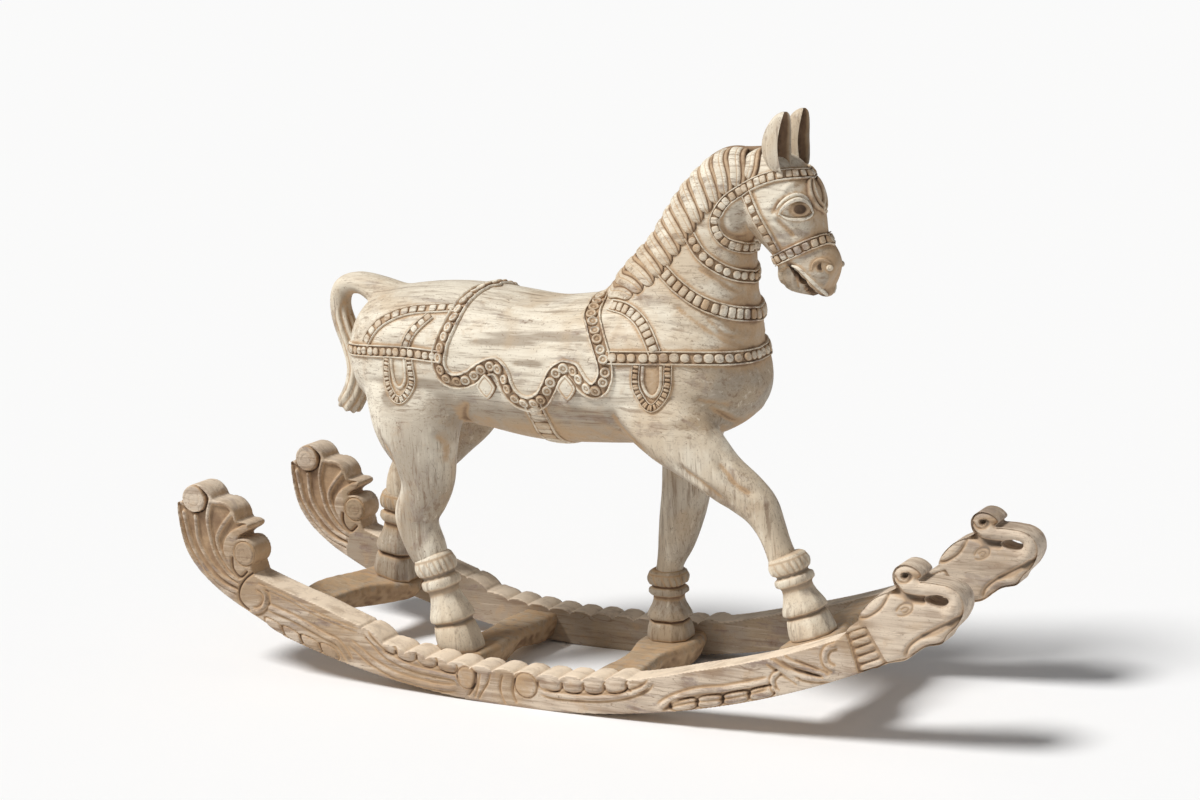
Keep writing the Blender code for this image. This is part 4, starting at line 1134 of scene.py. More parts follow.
def leaf(carving, tree, tip, root, half, rise, side, added_dirt_and_shade):
    """Small pointed leaf or drop between two side-view points, with a groove down its middle."""
    tip, root = np.array(tip), np.array(root)
    t = np.linspace(0.0, 1.0, 12)
    points = [tuple(cast(tree, x, z, side)[0]) for x, z in root + (tip - root) * t[:, None]]
    path, normals = nearest(tree, np.array(points))
    normals = unit(averaged(normals, 5, False))
    along = tangents(path)
    across = unit(np.cross(normals, along))
    width = half * np.sin(np.pi * (0.08 + 0.88 * t)) ** 0.55
    u = np.array([-1.0, -1.0, -0.75, -0.45, -0.12, 0.0, 0.12, 0.45, 0.75, 1.0, 1.0])
    v = np.array([-1.0, 0.25, 0.80, 1.0, 0.60, 0.35, 0.60, 1.0, 0.80, 0.25, -1.0])
    grime_and_shade = np.array([1.0, 0.5, 0.1, 0.0, 0.4, 0.8, 0.4, 0.0, 0.1, 0.5, 1.0])
    rings = (path[:, None] + across[:, None] * (width[:, None] * u)[:, :, None]
             + normals[:, None] * (rise * v)[None, :, None])
    carving.tube(rings, np.broadcast_to(grime_and_shade + added_dirt_and_shade, (len(t), len(u))))


PLAIN = [(-1.0, -1.5, 0.8), (-1.0, 0.3, 0.4), (-0.6, 0.9, 0.05), (0.0, 1.0, 0.0), (0.6, 0.9, 0.05),
         (1.0, 0.3, 0.4), (1.0, -1.5, 0.8)]
DROPS = [(-0.101, 0.471), (0.037, 0.476)]
TEARS = [
    mm(2, -268, 506, -268, 476, -256, 458, -245, 476, -244, 506),
    mm(2, 161, 512, 160, 484, 173, 465, 186, 484, 187, 512),
]


def carve_leaves(tree):
    """Drops under the saddle cloth, borders inside the pendants and leaves on the forehead."""
    leaves = Carving()
    for side in (-1.0, 1.0):
        for x, z in DROPS:
            point, normal = (np.array(row) for row in cast(tree, x, z, side)[:2])
            along = unit(np.cross(normal, (1.0, 0.0, 0.0)))
            bead(leaves, point + normal * CLOTH_RISE, normal, along, np.cross(normal, along), 1.25,
                 0.0200, 0.0165, 0.0046, "plate", 32)
        for pairs in TEARS:
            path, normals, closed = surface_path(tree, "side", pairs, side=side)
            strap(leaves, tree, path, normals, closed, 0.0056, 0.0026, PLAIN)
        leaf(leaves, tree, (0.3945, 0.716), (0.379, 0.764), 0.0105, 0.0042, side, 0.22)
    return leaves


# Turned foot: height above the sole, radius, flute depth, dirt and painted shade
FOOT = [
    (0.152, 0.0222, 0.0, 0.5), (0.149, 0.0272, 0.0, 0.15), (0.146, 0.0300, 0.0, 0.0),
    (0.143, 0.0308, 0.0, 0.55), (0.140, 0.0322, 0.6, 0.1), (0.134, 0.0338, 1.0, 0.0),
    (0.127, 0.0332, 1.0, 0.0), (0.1215, 0.0312, 0.8, 0.1), (0.1185, 0.0268, 0.3, 0.75),
    (0.1160, 0.0252, 0.0, 0.9), (0.1135, 0.0262, 0.0, 0.5), (0.1110, 0.0298, 0.0, 0.1),
    (0.1080, 0.0310, 0.0, 0.0), (0.1015, 0.0312, 0.0, 0.05), (0.0985, 0.0296, 0.0, 0.2),
    (0.0950, 0.0252, 0.0, 0.8), (0.0915, 0.0240, 0.0, 0.6), (0.0850, 0.0244, 0.0, 0.15),
    (0.0760, 0.0266, 0.0, 0.05), (0.0660, 0.0304, 0.0, 0.0), (0.0570, 0.0338, 0.0, 0.0),
    (0.0500, 0.0352, 0.0, 0.0), (0.0465, 0.0346, 0.0, 0.1), (0.0440, 0.0312, 0.0, 0.8),
    (0.0415, 0.0292, 0.0, 1.0), (0.0390, 0.0302, 0.0, 0.7), (0.0365, 0.0322, 0.0, 0.2),
    (0.0270, 0.0345, 0.0, 0.0), (0.0120, 0.0366, 0.0, 0.0), (0.0045, 0.0368, 0.0, 0.1),
    (0.0000, 0.0357, 0.0, 0.6),
]
FLUTES = 17


def carve_foot(foot):
    """Fluted cuff, faceted ring, bell pastern and hoof block."""
    x, z, y, lean, sole, factor, slim = foot
    centre = np.array([x, y, z])
    up = np.array([math.sin(math.radians(lean)), 0.0, math.cos(math.radians(lean))])
    along = np.array([math.cos(math.radians(sole)), 0.0, math.sin(math.radians(sole))])
    level = np.array([up[2], 0.0, -up[0]])
    sides = FLUTES * 6
    angle = 2.0 * np.pi * (np.arange(sides) + 0.5) / sides
    u, v = superellipse(sides, 2.6)
    facet = np.cos(np.pi / 8.0) / np.cos((angle + np.pi / 8.0) % (np.pi / 4.0) - np.pi / 8.0)
    rings, dirt_and_shade = [], []
    for height, radius, depth, grime_and_shade in FOOT:
        radius = radius * slim
        flute = np.abs(np.sin(0.5 * FLUTES * angle + 75.0 * (height - 0.134)))
        mix = min(height / 0.060, 1.0)
        front = unit(along * (1.0 - mix) + level * mix)
        size = np.full(sides, radius)
        size = size - 0.0030 * depth * (1.0 - flute) ** 1.5
        if height < 0.112:
            size = size * (0.35 + 0.65 * facet / facet.mean())
        spread = front * (u * size)[:, None] + np.array([0.0, 1.0, 0.0]) * (v * size * 0.95)[:, None]
        rings.append(centre + up * height * factor + spread)
        dirt_and_shade.append(grime_and_shade + 0.8 * depth * (1.0 - flute) ** 3)
    piece = Carving()
    piece.tube(rings, np.array(dirt_and_shade))
    return piece


# ---------------------------------------------------------------- rockers
def under_z(x):
    """Height of the rocker's underside, with its short worn flat."""
    drop = math.sqrt(ROCKER_RADIUS ** 2 - FLAT_HALF ** 2)
    reach = np.maximum(np.abs(np.asarray(x) - CONTACT_X), FLAT_HALF)
    return drop - np.sqrt(ROCKER_RADIUS ** 2 - reach ** 2)


def rail_top(x):
    """Height of the rail's top edge."""
    knots = np.array(RAIL_DEPTHS)
    return under_z(x) + np.interp(x, knots[:, 0], knots[:, 1])


def arc(cx, cz, radius, start, end, count):
    """Points on an arc, angles in degrees."""
    angle = np.radians(np.linspace(start, end, count))
    return np.stack([cx + radius * np.cos(angle), cz + radius * np.sin(angle)], 1)


def rocker_outline():
    """Side outline: underside, elephant head, rail with scallops, plume."""
    parts = []

    def along_rail(start, end, count, height):
        x = np.linspace(start, end, count)
        parts.append(np.stack([x, height(x)], 1))

    along_rail(-0.470, CONTACT_X - FLAT_HALF, 90, under_z)
    along_rail(CONTACT_X + FLAT_HALF, 0.520, 90, under_z)
    parts.append(spline(mm(2, 5240, 1222, 5410, 1310, 5660, 1380, 5820, 1500, 5970, 1600, 6180, 1660,
                           6260, 1780, 6400, 1930, 6490, 2100, 6500, 2240, 6440, 2370, 6300, 2460, 6060,
                           2490, 5880, 2490, per_metre=1e4)))
    parts.append(spline(mm(2, 585, 251.5, 591.5, 256, 590, 262, 580, 269, 567, 271, 556, 266, 550.5, 256,
                           552, 244, 556, 237.5)))
    parts.append(spline(mm(2, 547, 232.5, 524, 221, 507, 204, 500, 190, 500, 181, 487, 177, 480, 167)))
    along_rail(0.470, SCALLOP_END, 40, rail_top)
    pitch = (SCALLOP_END - SCALLOP_START) / SCALLOP_COUNT
    for lobe in range(SCALLOP_COUNT):
        centre = SCALLOP_END - pitch * (lobe + 0.5)
        angle = np.pi * np.linspace(0.04, 0.96, 12)
        x = centre + 0.5 * pitch * np.cos(angle)
        parts.append(np.stack([x, rail_top(x) - 0.004 + SCALLOP_RISE * np.sin(angle)], 1))
    along_rail(SCALLOP_START - 0.004, -0.522, 24, rail_top)
    parts.append(arc(-0.539, 0.194, 0.0225, -55, 120, 24))
    parts.append(spline(mm(2, -549, 217.5, -543, 223, -528, 231.5, -526, 238, -532, 242, -546, 243)))
    parts.append(arc(-0.578, 0.245, 0.030, 4, 100, 20))
    parts.append(arc(-0.622, 0.268, 0.031, 15, 178, 30))
    parts.append(spline(mm(2, -661, 268, -664, 262, -661, 223, -651, 188, -627, 156, -590, 127, -552,
                           106, -511, 86), 10))
    return np.vstack(parts)


SLOT = mm(2, 594, 227, 602, 231, 614, 233, 625, 231, 629.5, 225, 622, 218, 610, 217.5, 599, 221)

PLUME_LOBES = np.vstack([arc(-0.578, 0.245, 0.030, 4, 100, 12), arc(-0.622, 0.268, 0.031, 15, 178, 16)])

# Carving on the faces: x-z points, half width, height (negative is cut in) and, on the heads, dirt and painted shade
PLUME_GROOVES = [
    mm(2, -665, 258, -656, 206, -632, 167, -600, 137, -562, 120),
    mm(2, -653, 251, -643, 203, -622, 168, -592, 140, -556, 127),
    mm(2, -630, 247, -628, 208, -611, 177, -584, 151, -550, 137),
    mm(2, -598, 272, -606, 247, -604, 218, -595, 186, -573, 158, -547, 144),
    mm(2, -557, 256, -583, 228, -590, 207, -576, 176, -554, 153),
    mm(2, -526, 238, -545, 231, -567, 217, -576, 196, -566, 173, -549, 154),
    mm(2, -562, 189, -562, 167, -549, 154, -532, 167),
]
HEAD_GROOVES = [
    (mm(2, 500, 190, 514, 194, 531, 206, 542, 222, 545, 231), 0.0024, -0.0034, 0.6),
    (mm(2, 565, 140, 571, 157, 589, 173, 617, 190, 639, 202, 655, 209),
     0.0030, -0.0044, 0.62),
    # The groove under the trunk is coloured dark: painted shadow under the trunk
    (mm(2, 546, 234.5, 560, 231, 578, 226, 598, 224), 0.0052, -0.0085, 0.85),
    (mm(2, 552, 247, 558.5, 238.5, 575, 235, 594, 238.5), 0.0016, -0.0012, 0.3),
    (mm(2, 552.5, 256, 560, 247, 572, 247, 576.5, 255, 570, 260.5),
     0.0022, -0.0034, 0.8),
    (mm(2, 554, 203, 560, 213, 569, 218, 578, 216, 577, 208, 569, 202, 560, 200, 554, 203), 0.0017, -0.0016, 0.75),
    (mm(2, 561, 207, 567, 212, 573, 211, 569, 206, 563, 205), 0.0017, -0.0014, 0.75),
]
HEAD_RIDGES = [
    (mm(2, 590, 164, 613, 172, 631, 184, 648, 202), 0.0045, 0.0018),
    (mm(2, 560, 238, 585, 241, 617, 243, 637, 238, 641, 226, 634, 212, 618, 202), 0.0085, 0.0040),
]
# Ribbed collar behind each elephant's head: corners, left and right edge from the top down
COLLAR = np.array([[(0.4810, 0.1680), (0.4980, 0.1120)], [(0.5110, 0.1810), (0.5410, 0.1300)]])
COLLAR_BARS = 5
RAIL_LINES = [
    (mm(2, -519, 143, -506, 137, -500, 126, -505, 112, -516, 103, -530, 101),
     0.0024, 0.0026),
    (mm(2, -504, 112, -485, 107, -453, 98, -422, 86, -392, 74, -373, 68, -362, 58, -352, 45, -346, 34), 0.0024, 0.0024),
    (mm(2, -352, 72, -330, 58, -305, 42, -270, 27, -234, 19, -183, 15, -150, 17), 0.0024, 0.0018),
    (mm(2, -516, 148, -504, 142, -472, 133, -441, 122, -407, 109, -373, 99, -340, 91, -322, 88), 0.0013, 0.0009),
    (mm(2, -318, 92, -303, 75, -273, 52, -232, 40, -192, 36, -158, 33, -150, 21), 0.0022, 0.0020),
    (mm(2, -13, 31, 13, 26, 55, 27, 97, 31, 138, 41, 168, 55, 181, 70), 0.0022, 0.0020),
    (mm(2, 185, 24, 201, 37, 224, 49, 256, 60, 294, 67, 344, 81, 369, 89), 0.0024, 0.0022),
    (mm(2, 382, 103, 374, 97, 369, 89, 371, 78, 377, 70), 0.0018, 0.0016),
    (mm(2, 362, 117, 382, 105, 411, 90), 0.0022, 0.0020),
    (mm(2, 367, 118, 396, 103, 429, 98, 460, 101), 0.0022, 0.0020),
    (mm(2, 384, 124, 400, 116, 424, 111, 456, 103), 0.0020, 0.0016),
    (mm(2, 468, 150, 455, 144, 449, 133, 452, 121, 464, 114), 0.0022, 0.0020),
]
RAIL_CUTS = [
    (mm(2, -118, 48, -124, 24, -136, 6), 0.0022, -0.0030),
    (mm(2, -111, 47, -116, 26, -124, 4), 0.0016, -0.0020),
    (mm(2, -93, 49, -99, 32, -112, 13, -117, 3), 0.0018, -0.0026),
    (mm(2, -72, 49, -78, 27, -74, 10, -69, 1), 0.0018, -0.0026),
    (mm(2, -51, 46, -56, 22, -50, 4), 0.0022, -0.0030),
    (mm(2, 192, 22, 207, 30, 239, 41, 287, 51, 331, 64, 368, 78),
     0.0018, -0.0024),
    (mm(2, 400, 108, 424, 104, 450, 97), 0.0024, -0.0014),
    (mm(2, 404, 123, 424, 115, 440, 109), 0.0024, -0.0015),
]
# Petals in rows along the bottom edge: where they meet, and how far each row leans
BRICKS = (((-0.505, -0.472, -0.438, -0.402, -0.370), 0.010), ((0.207, 0.250, 0.291, 0.332, 0.372), 0.0))
# Ovals under the scallops, each from one x-z end to the other
OVALS = mm(4, -318, 92, -262, 62, -262, 65, -225, 58, -224, 60, -188, 53, -188, 55, -153, 47, -10,
           40, 29, 43, 29, 42, 65, 45, 65, 44, 100, 49, 100, 48, 137, 55, 137, 53, 172, 63)
RAIL_START = mm(2, -500, 170, -521, 164, -540, 151, -552, 135, -554, 119, -545, 107, -531, 99)
BOSSES = [(-0.135, 0.036, 0.0165), (-0.032, 0.036, 0.0185)]
SCROLLS = [(-0.629, 0.275, 0.0215), (-0.537, 0.193, 0.0185)]
CURL_HOLE = (0.568, 0.2555, 0.0040)
PLUME_TOP = np.array(mm(2, -533, 246, -549, 258, -566, 276, -589, 286, -602, 298, -640, 300, -668, 270))


def line_profile(face, flat, path, width, amount, dirt_and_shade_each=0.0):
    """Add a ridge or groove to a face, with dirt and painted shade in the groove or beside the ridge, and less on the
    ridge's crest.
    """
    height, dirt_and_shade = face
    d, _, along = track(flat, spline(path, 5), 3.5 * width)
    core = bell(d, 0.0, width) * fades(along, 0.08)
    height += amount * core
    if amount < 0:
        dirt_and_shade += dirt_and_shade_each * core
    else:
        beside = bell(d, 1.9 * width, 0.8 * width) * fades(along, 0.08)
        height -= 0.5 * amount * beside
        dirt_and_shade += 0.58 * beside
        dirt_and_shade -= 0.5 * core


def carve_collar(face, flat):
    """Sunk band with raised bars across it."""
    height, dirt_and_shade = face
    top, low = COLLAR[:, 0].mean(0), COLLAR[:, 1].mean(0)
    axis = low - top
    length = np.linalg.norm(axis)
    axis = axis / length
    cross = np.array([-axis[1], axis[0]])
    v = (flat - top) @ axis / length
    half = 0.5 * np.abs(np.stack([(COLLAR[1, k] - COLLAR[0, k]) @ cross for k in (0, 1)]))
    u = ((flat - top) @ cross) / (half[0] + (half[1] - half[0]) * np.clip(v, 0.0, 1.0))
    frame = np.maximum(np.abs(u), np.abs(2.0 * v - 1.0))
    inside = smooth(1.04 - frame, 0.0, 0.10)
    row = v * COLLAR_BARS
    middle = (row % 1.0 - 0.5) / 0.42
    r = (np.abs(u / 0.86) ** 4 + np.abs(middle) ** 3.0) ** 0.3
    bar = smooth(1.0 - r, -0.05, 0.45)
    height += inside * (0.0040 * bar - 0.0030)
    dirt_and_shade += inside * 0.72 * (1.0 - bar) ** 2


def carve_head_and_plume(flat):
    """Heights, and dirt and painted shade, of the carving that both faces carry."""
    height, dirt_and_shade = np.zeros(len(flat)), np.zeros(len(flat))
    face = (height, dirt_and_shade)
    edges = [spline(path, 5) for path in PLUME_GROOVES]
    gap = np.min([track(flat, path, 0.02)[0] for path in edges[:6]], axis=0)
    reach = np.vstack([edges[0], edges[5][::-1], PLUME_TOP])
    scooped = inside_polygon(flat, reach) * smooth(track(flat, PLUME_LOBES, 0.03)[0], 0.0035, 0.0095)
    for x, z, radius in SCROLLS:
        scooped *= np.hypot(flat[:, 0] - x, flat[:, 1] - z) > radius + 0.0005
    hollow = smooth(gap, 0.0008, 0.0060) * scooped
    past = inside_polygon(flat, np.array(RAIL_START + [(-0.40, 0.05), (-0.40, 0.20)]))
    hollow = hollow * (1.0 - past)
    scooped = scooped * (1.0 - past)
    height -= 0.0062 * hollow
    dirt_and_shade += 0.62 * smooth(gap, 0.0016, 0.0050) * scooped
    line_profile(face, flat, PLUME_GROOVES[6], 0.0026, -0.0048, 0.95)
    for path, width, amount, added_dirt_and_shade in HEAD_GROOVES:
        line_profile(face, flat, path, width, amount, added_dirt_and_shade)
    carve_collar(face, flat)
    for path, width, amount in HEAD_RIDGES:
        line_profile(face, flat, path, width, amount)
    for x, z, radius in SCROLLS:
        r = np.hypot(flat[:, 0] - x, flat[:, 1] - z)
        turn = np.arctan2(flat[:, 1] - z, flat[:, 0] - x)
        disc = smooth(radius - r, -0.0006, 0.0012)
        spiral = np.cos(2.0 * np.pi * (r / 0.0078 - turn / (2.0 * np.pi)))
        cut = smooth(-spiral, 0.55, 1.0) * disc * smooth(r, 0.002, 0.005)
        height += 0.0018 * disc - 0.0009 * cut
        height -= 0.0020 * bell(r - radius, 0.0012, 0.0012)
        dirt_and_shade += 0.16 * cut + 0.7 * bell(r - radius, 0.0012, 0.0014)
    # The curl's hole is a shallow dimple coloured very dark: painted shadow in the hole
    x, z, radius = CURL_HOLE
    r = np.hypot(flat[:, 0] - x, flat[:, 1] - z)
    height -= 0.009 * smooth(radius - r, -0.0006, 0.0010)
    dirt_and_shade += 1.2 * smooth(radius - r, -0.0014, 0.0004)
    return height, dirt_and_shade


def carve_rail(flat):
    """Heights, and dirt and painted shade, of the outer face of the rail."""
    height, dirt_and_shade = np.zeros(len(flat)), np.zeros(len(flat))
    face = (height, dirt_and_shade)
    x, z = flat[:, 0], flat[:, 1]
    for path, width, amount in RAIL_CUTS:
        line_profile(face, flat, path, 1.1 * width, 1.1 * amount, -210.0 * amount)
    for path, width, amount in RAIL_LINES:
        line_profile(face, flat, path, 1.3 * width, 1.5 * amount)
    bottom = z - under_z(x)
    for ends, lean in BRICKS:
        for low, high in zip(ends, ends[1:]):
            centre, half = 0.5 * (low + high), 0.5 * (high - low)
            u = (x - centre + lean * (bottom / 0.02 - 0.5)) / half
            v = (bottom - 0.0100) / 0.0085
            r = (np.abs(u) ** 3.2 + np.abs(v) ** 2.4) ** (1 / 2.8)
            height += 0.0024 * smooth(1.0 - r, 0.0, 0.35)
            height -= 0.0018 * bell(r, 1.06, 0.10)
            dirt_and_shade += 0.75 * bell(r, 1.07, 0.11)
    for x0, z0, x1, z1 in OVALS:
        centre = 0.5 * np.array([x0 + x1, z0 + z1])
        axis = np.array([x1 - x0, z1 - z0])
        half = 0.5 * np.hypot(*axis)
        axis = axis / (2.0 * half)
        off = flat - centre
        u = off @ axis / half
        v = (off @ np.array([-axis[1], axis[0]])) / 0.0112
        r = np.sqrt(u ** 2 + v ** 2)
        # The dark line round the lower half only is painted shade under each oval
        low = off[:, 1] < 0.004
        height += 0.0022 * smooth(1.0 - r, 0.0, 0.6) - 0.0022 * bell(r, 1.08, 0.10) * low
        dirt_and_shade += 0.16 * smooth(1.0 - r, 0.05, 0.6) + 0.60 * bell(r, 1.06, 0.10) * low
    # The rail starts as a round boss that stands proud of the plume
    line_profile(face, flat, RAIL_START, 0.0026, -0.0034, 1.0)
    for cx, cz, radius in BOSSES:
        r = np.hypot(x - cx, z - cz)
        height += 0.0020 * smooth(radius - r, 0.0, 0.0016)
        dirt_and_shade += 0.8 * bell(r - radius, 0.001, 0.0014) + 0.26 * (r < radius)
    return height, dirt_and_shade


def edge_distance(flat, outline):
    """Distance from face points to the outline."""
    closed = np.vstack([outline, outline[:1]])
    fine = even(closed, 0.0011)
    tree = kdtree.KDTree(len(fine))
    for i, (x, z) in enumerate(fine):
        tree.insert((x, z, 0.0), i)
    tree.balance()
    return np.array([tree.find((x, z, 0.0))[2] for x, z in flat])


def rocker_mesh():
    """Near rocker in full relief."""
    outline = rocker_outline()
    slot = spline(SLOT + SLOT[:1], 5)[:-1]
    mesh = cut(prism(outline, 0.5 * PLANK * THIN), slot, PLANK, [("TRIANGULATE", {})], [
        ("REMESH", {"mode": "VOXEL", "voxel_size": ROCKER_VOXEL}),
        ("SMOOTH", {"factor": 0.5, "iterations": 2}),
    ])
    co, _ = read_mesh(mesh)
    co[:, 1] /= THIN
    move(mesh, co)
    co, normals = read_mesh(mesh)
    flat = co[:, [0, 2]]
    rim = edge_distance(flat, outline)
    rim = np.minimum(rim, 0.006 + edge_distance(flat, slot))
    x, z = flat[:, 0], flat[:, 1]
    faceness = smooth(np.abs(normals[:, 1]), 0.35, 0.8)
    height, dirt_and_shade = carve_head_and_plume(flat)
    rail_height, rail_dirt_and_shade = carve_rail(flat)
    outer = (co[:, 1] < 0).astype(float)
    rail_zone = smooth(x, -0.562, -0.556) * smooth(0.492 - x, 0.0, 0.010)
    height = height + rail_height * outer * rail_zone
    dirt_and_shade = dirt_and_shade + rail_dirt_and_shade * outer * rail_zone
    # Rounded edges: full on the elephant's head, slight elsewhere
    head = smooth(x, 0.536, 0.556) + 0.6 * smooth(x, 0.497, 0.509) * smooth(0.556 - x, 0.0, 0.02)
    head = np.clip(head, 0.0, 1.0)
    radius = 0.0018 + 0.0112 * head
    t = np.clip(1.0 - rim / radius, 0.0, 1.0)
    height -= radius * 0.85 * (1.0 - np.sqrt(np.clip(1.0 - t ** 2, 0.0, 1.0)))
    co[:, 1] += height * faceness * np.sign(co[:, 1])
    move(mesh, co + [0.0, -ROCKER_Y, 0.0])
    # Painted highlight on the upward-facing tops and paler elephants; painted shade on the rail's inner faces, the
    # plume's edge faces and downward-facing edge faces
    top = smooth(normals[:, 2], 0.45, 0.75) * (0.45 + 0.55 * smooth(x, -0.53, -0.50))
    top = top * smooth(0.48 - x, 0.0, 0.02) + 0.24 * smooth(x, 0.500, 0.520)
    dirt_and_shade = dirt_and_shade * faceness
    shade = (1.0 - outer) * rail_zone * faceness
    side = 1.0 - faceness
    plume_side = side * smooth(-x, 0.500, 0.520) * (1.0 - smooth(normals[:, 2], 0.3, 0.8))
    dirt_and_shade = dirt_and_shade + 0.30 * plume_side + 0.35 * smooth(-normals[:, 2], 0.5, 0.9) * side
    return mesh, dirt_and_shade, top, shade


# ---------------------------------------------------------------- crossbars
# Node, hoof, middle in x, and phase of the bar's waves
BARS = (
    ("rear_crossbar", "far_hind", -0.468, 0.4),
    ("hind_crossbar", "near_hind", -0.185, 1.7),
    ("middle_crossbar", "far_front", 0.078, 2.9),
    ("front_crossbar", "near_front", 0.394, 4.1),
)
BAR_HALF, HOOF_SEAT, BAR_FLARE, BAR_DEPTH, JOINT_GAP = 0.028, 0.044, 0.055, 0.038, 0.0003
BAR_RINGS, BAR_SIDES, BAR_MARKS = 121, 64, 40


def crossbar_mesh(foot, centre_x, waver, rng):
    """Rough-hewn bar under one hoof, with tool marks."""
    x, z, y0, _, sole, _, _ = foot
    along = np.array([math.cos(math.radians(sole)), 0.0, math.sin(math.radians(sole))])
    down = np.array([along[2], 0.0, -along[0]])
    reach = 0.5 * (2.0 * ROCKER_Y - PLANK) - JOINT_GAP
    bar = Carving()
    rings, dirt_and_shade = [], []
    marks = rng.uniform(-1.0, 1.0, (BAR_SIDES, BAR_MARKS))
    for i in range(BAR_RINGS):
        y = -reach + 2.0 * reach * i / (BAR_RINGS - 1)
        near = math.exp(-((y - y0) / BAR_FLARE) ** 2)
        half = BAR_HALF + (HOOF_SEAT - BAR_HALF) * near
        shift = (x - centre_x) * (near - 1.0)
        back = shift - half + 0.003 * math.sin(waver + 50.0 * y)
        front = shift + half + 0.003 * math.cos(waver + 40.0 * y)
        depth = BAR_DEPTH + 0.004 * math.sin(2.0 * waver + 45.0 * y)
        corners = np.array([(back, 0.0), (front, 0.0), (front + 0.004, 0.012), (front - 0.006, depth),
                            (back + 0.006, depth), (back - 0.004, 0.014), (back, 0.0)])
        section = even(corners, (2 * half + 2 * depth + 2 * half) / 70)[:-1]
        want = np.linspace(0, len(section), BAR_SIDES, endpoint=False)
        section = np.stack([np.interp(want, np.arange(len(section) + 1), np.r_[section[:, k], section[0, k]])
                            for k in (0, 1)], 1)
        section = averaged(section, 2, True)
        top = np.array([x, y, z]) + down * JOINT_GAP
        column = i / BAR_RINGS * (BAR_MARKS - 1)
        k, f = int(column), column - int(column)
        rough = marks[:, k] * (1 - f) + marks[:, min(k + 1, BAR_MARKS - 1)] * f
        rough = 0.5 * rough + 0.25 * np.roll(rough, 1) + 0.25 * np.roll(rough, -1)
        section = section + unit(section.mean(0) - section) * (0.0006 + 0.0007 * rough)[:, None]
        rings.append(top + along * section[:, :1] + down * section[:, 1:])
        # Darker on the tool marks and towards the underside: dirt and painted shade under the bar
        dirt_and_shade.append(0.25 + 0.25 * rough + 0.25 * smooth(section[:, 1], 0.003, 0.02))
    bar.tube(rings, np.array(dirt_and_shade))
    return bar


# ---------------------------------------------------------------- assembly
def build_horse():
    """Body, tack, mane, face and feet."""
    rng = np.random.default_rng(HORSE_SEED)
    mesh, carved_dirt_and_shade = body_mesh()
    tree = tree_of(mesh)
    tack, edges = carve_straps(tree, rng)
    mane = carve_mane(tree, rng)
    face = carve_face(tree)
    leaves = carve_leaves(tree)
    ears = Carving()
    for side in (-1.0, 1.0):
        carve_ear(ears, side)

    co, normals = read_mesh(mesh)
    lines = np.vstack(edges + [v[::3] for v in mane.verts + leaves.verts + face.verts])
    near = kdtree.KDTree(len(lines))
    for i, point in enumerate(lines):
        near.insert(point, i)
    near.balance()
    gap = np.array([near.find(point)[2] for point in co])
    # Darker beside the straps, mane, leaves and face, and in hollows: dirt and painted shade between the parts
    dirt_and_shade = 0.6 * carved_dirt_and_shade + 0.40 * bell(gap, 0.0, 0.0028) + 0.10 * bell(gap, 0.0, 0.010)
    hollow = cavity(mesh, co, normals, 3)
    dirt_and_shade += 2.2 * np.clip(hollow - 0.03, 0.0, 0.4)
    # Painted shade: darker on downward-facing undersides of belly, throat and jaw, on forward-facing sides of chest,
    # neck and head, and along the mouth's cut
    dirt_and_shade += 0.30 * smooth(-normals[:, 2], 0.25, 0.90) * smooth(co[:, 2], 0.30, 0.42)
    dirt_and_shade += 0.26 * smooth(normals[:, 0], 0.45, 0.95) * smooth(co[:, 2], 0.44, 0.52)
    mouth, _, _ = track(co[:, [0, 2]], [(0.352, 0.648), (0.392, 0.600)], 0.02)
    dirt_and_shade += 0.8 * bell(mouth, 0.0, 0.005) * (co[:, 0] > 0.34)
    # Tan inside the chest pendant
    dirt_and_shade += 0.26 * inside_polygon(co[:, [0, 2]], STRAPS["chest_pendant"][4])
    edge = 3.0 * np.clip(-hollow - 0.05, 0.0, 0.3)
    limb = smooth(0.43 - co[:, 2], 0.0, 0.05)
    limb += smooth(-co[:, 0], 0.375, 0.405) * smooth(0.61 - co[:, 2], 0.0, 0.05)
    finished(mesh, dirt_and_shade, edge, limb, worn_and_shaded(co, normals))
    place("horse_body", mesh, LIMEWASH, "horse", 60.0)
    for name, piece, mat in (("horse_tack", tack, TACK), ("horse_mane", mane, MANE_WOOD),
                             ("horse_face", face, LIMEWASH), ("horse_leaves", leaves, TACK),
                             ("horse_ears", ears, LIMEWASH)):
        made = new_mesh(name, piece)
        ear = float(name == "horse_ears")
        finished(made, np.concatenate(piece.dirt_and_shade), limb=ear, wear_and_shade=0.30 * ear)
        place(name, made, mat, "horse", 75.0)
    for name, foot in FEET.items():
        piece = carve_foot(foot)
        made = new_mesh(name, piece)
        # Painted light on the feet: a painted highlight on the near feet, painted shade on the far feet
        far = float(name.startswith("far"))
        finished(made, np.concatenate(piece.dirt_and_shade), 0.24 * (1.0 - far), limb=1.0, wear_and_shade=0.85 * far)
        place("foot_" + name, made, LIMEWASH, "horse", 50.0)


def build_rockers():
    """Both rockers; the left one mirrors the right."""
    mesh, dirt_and_shade, top, shade = rocker_mesh()
    co, _ = read_mesh(mesh)
    for name, node_name in (("rocker_right", "right_rocker"), ("rocker_left", "left_rocker")):
        made = mesh.copy()
        if node_name == "left_rocker":
            move(made, co * MIRROR)
            made.flip_normals()
        # The tops carry a painted highlight and the inner faces painted shade
        finished(made, dirt_and_shade, top, wear_and_shade=shade)
        place(name, made, RAIL, node_name, 60.0)
    bpy.data.meshes.remove(mesh)


def build_crossbars():
    """Four rough bars."""
    rng = np.random.default_rng(BAR_SEED)
    for name, foot, centre_x, waver in BARS:
        piece = crossbar_mesh(FEET[foot], centre_x, waver, rng)
        made = new_mesh(name, piece)
        # Painted shade: the bars are darkened all over, as they stand under the horse
        finished(made, np.concatenate(piece.dirt_and_shade), wear_and_shade=0.6)
        place("bar_" + name.split("_")[0], made, BAR, name, 50.0)


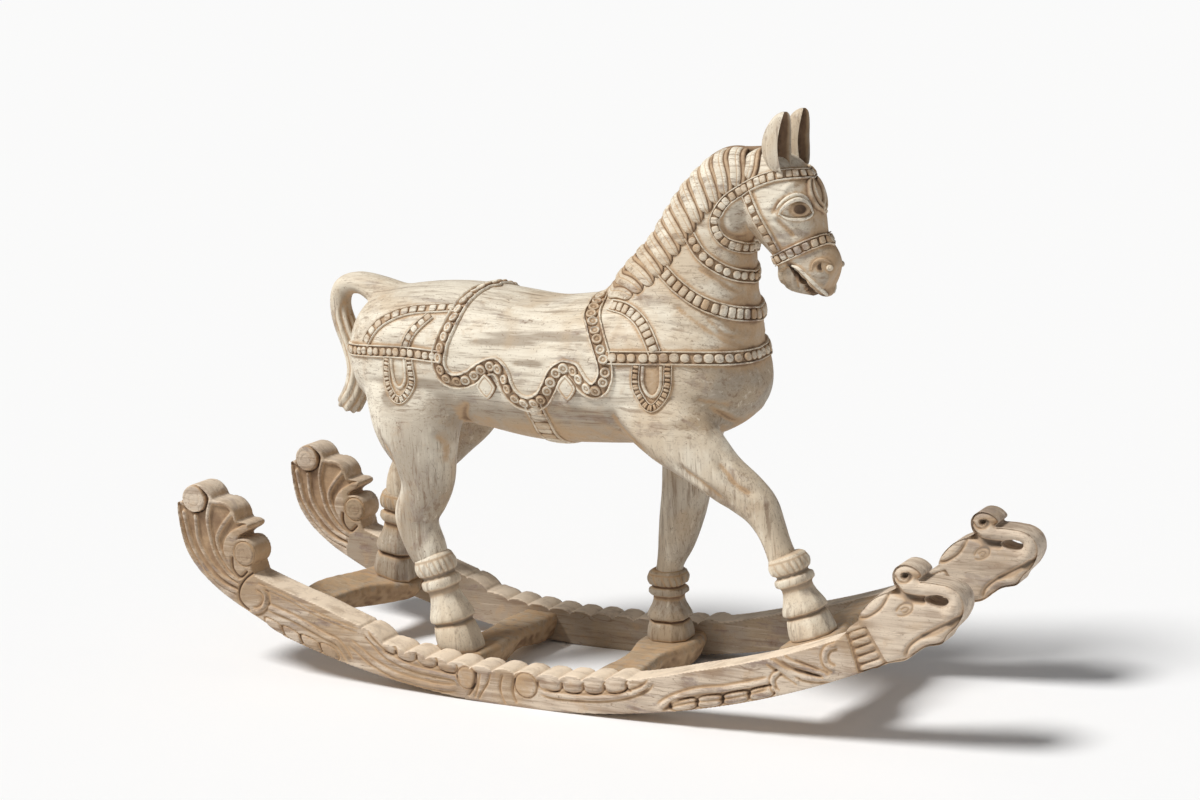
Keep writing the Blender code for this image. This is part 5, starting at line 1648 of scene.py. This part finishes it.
def build_camera():
    """Camera at the photograph's place."""
    back = Vector((math.sin(CAM_AZIMUTH) * math.cos(CAM_ELEVATION),
                   -math.cos(CAM_AZIMUTH) * math.cos(CAM_ELEVATION), math.sin(CAM_ELEVATION)))
    level = Vector((math.cos(CAM_AZIMUTH), math.sin(CAM_AZIMUTH), 0.0))
    up = back.cross(level)
    right = level * math.cos(CAM_ROLL) + up * math.sin(CAM_ROLL)
    up = back.cross(right)
    data = bpy.data.cameras.new("camera")
    data.sensor_width = SENSOR_MM
    data.lens = SENSOR_MM * FOCAL_PX / IMAGE_WIDTH_PX
    camera = linked("camera", data)
    turn = Matrix((right, up, back)).transposed()
    camera.matrix_world = Matrix.Translation(CAM_TARGET + back * CAM_DISTANCE) @ turn.to_4x4()
    bpy.context.scene.camera = camera


def build_stage():
    """Pale floor, white surroundings and one soft light from above left."""
    floor = bpy.data.meshes.new("floor")
    corners = [(x * FLOOR_REACH, y * FLOOR_REACH, 0.0) for x, y in ((-1, -1), (1, -1), (1, 1), (-1, 1))]
    floor.from_pydata(corners, [], [(0, 1, 2, 3)])
    mat = bpy.data.materials.new("floor")
    mat.use_nodes = True
    bsdf = mat.node_tree.nodes["Principled BSDF"]
    bsdf.inputs["Base Color"].default_value = FLOOR_COLOUR
    bsdf.inputs["Roughness"].default_value = 1.0
    bsdf.inputs["Specular IOR Level"].default_value = 0.0
    floor.materials.append(mat)
    linked("floor", floor)
    world = bpy.data.worlds.new("studio")
    world.use_nodes = True
    tree = world.node_tree
    ray = node(tree, "ShaderNodeLightPath")
    strength = node(tree, "ShaderNodeMapRange")
    strength.inputs["To Min"].default_value = SKY_LIGHT
    strength.inputs["To Max"].default_value = BACKDROP
    tree.links.new(ray.outputs["Is Camera Ray"], strength.inputs["Value"])
    background = tree.nodes["Background"]
    background.inputs["Color"].default_value = (1.0, 1.0, 1.0, 1.0)
    tree.links.new(strength.outputs["Result"], background.inputs["Strength"])
    bpy.context.scene.world = world
    data = bpy.data.lights.new("key", "SUN")
    data.energy = KEY_LIGHT
    data.angle = math.radians(KEY_SOFTNESS)
    data.color = KEY_COLOUR
    linked("key", data).rotation_euler = Vector(KEY_FROM).to_track_quat("Z", "Y").to_euler()
    bpy.context.scene.view_settings.view_transform = "Standard"


build_horse()
build_rockers()
build_crossbars()
build_camera()
build_stage()
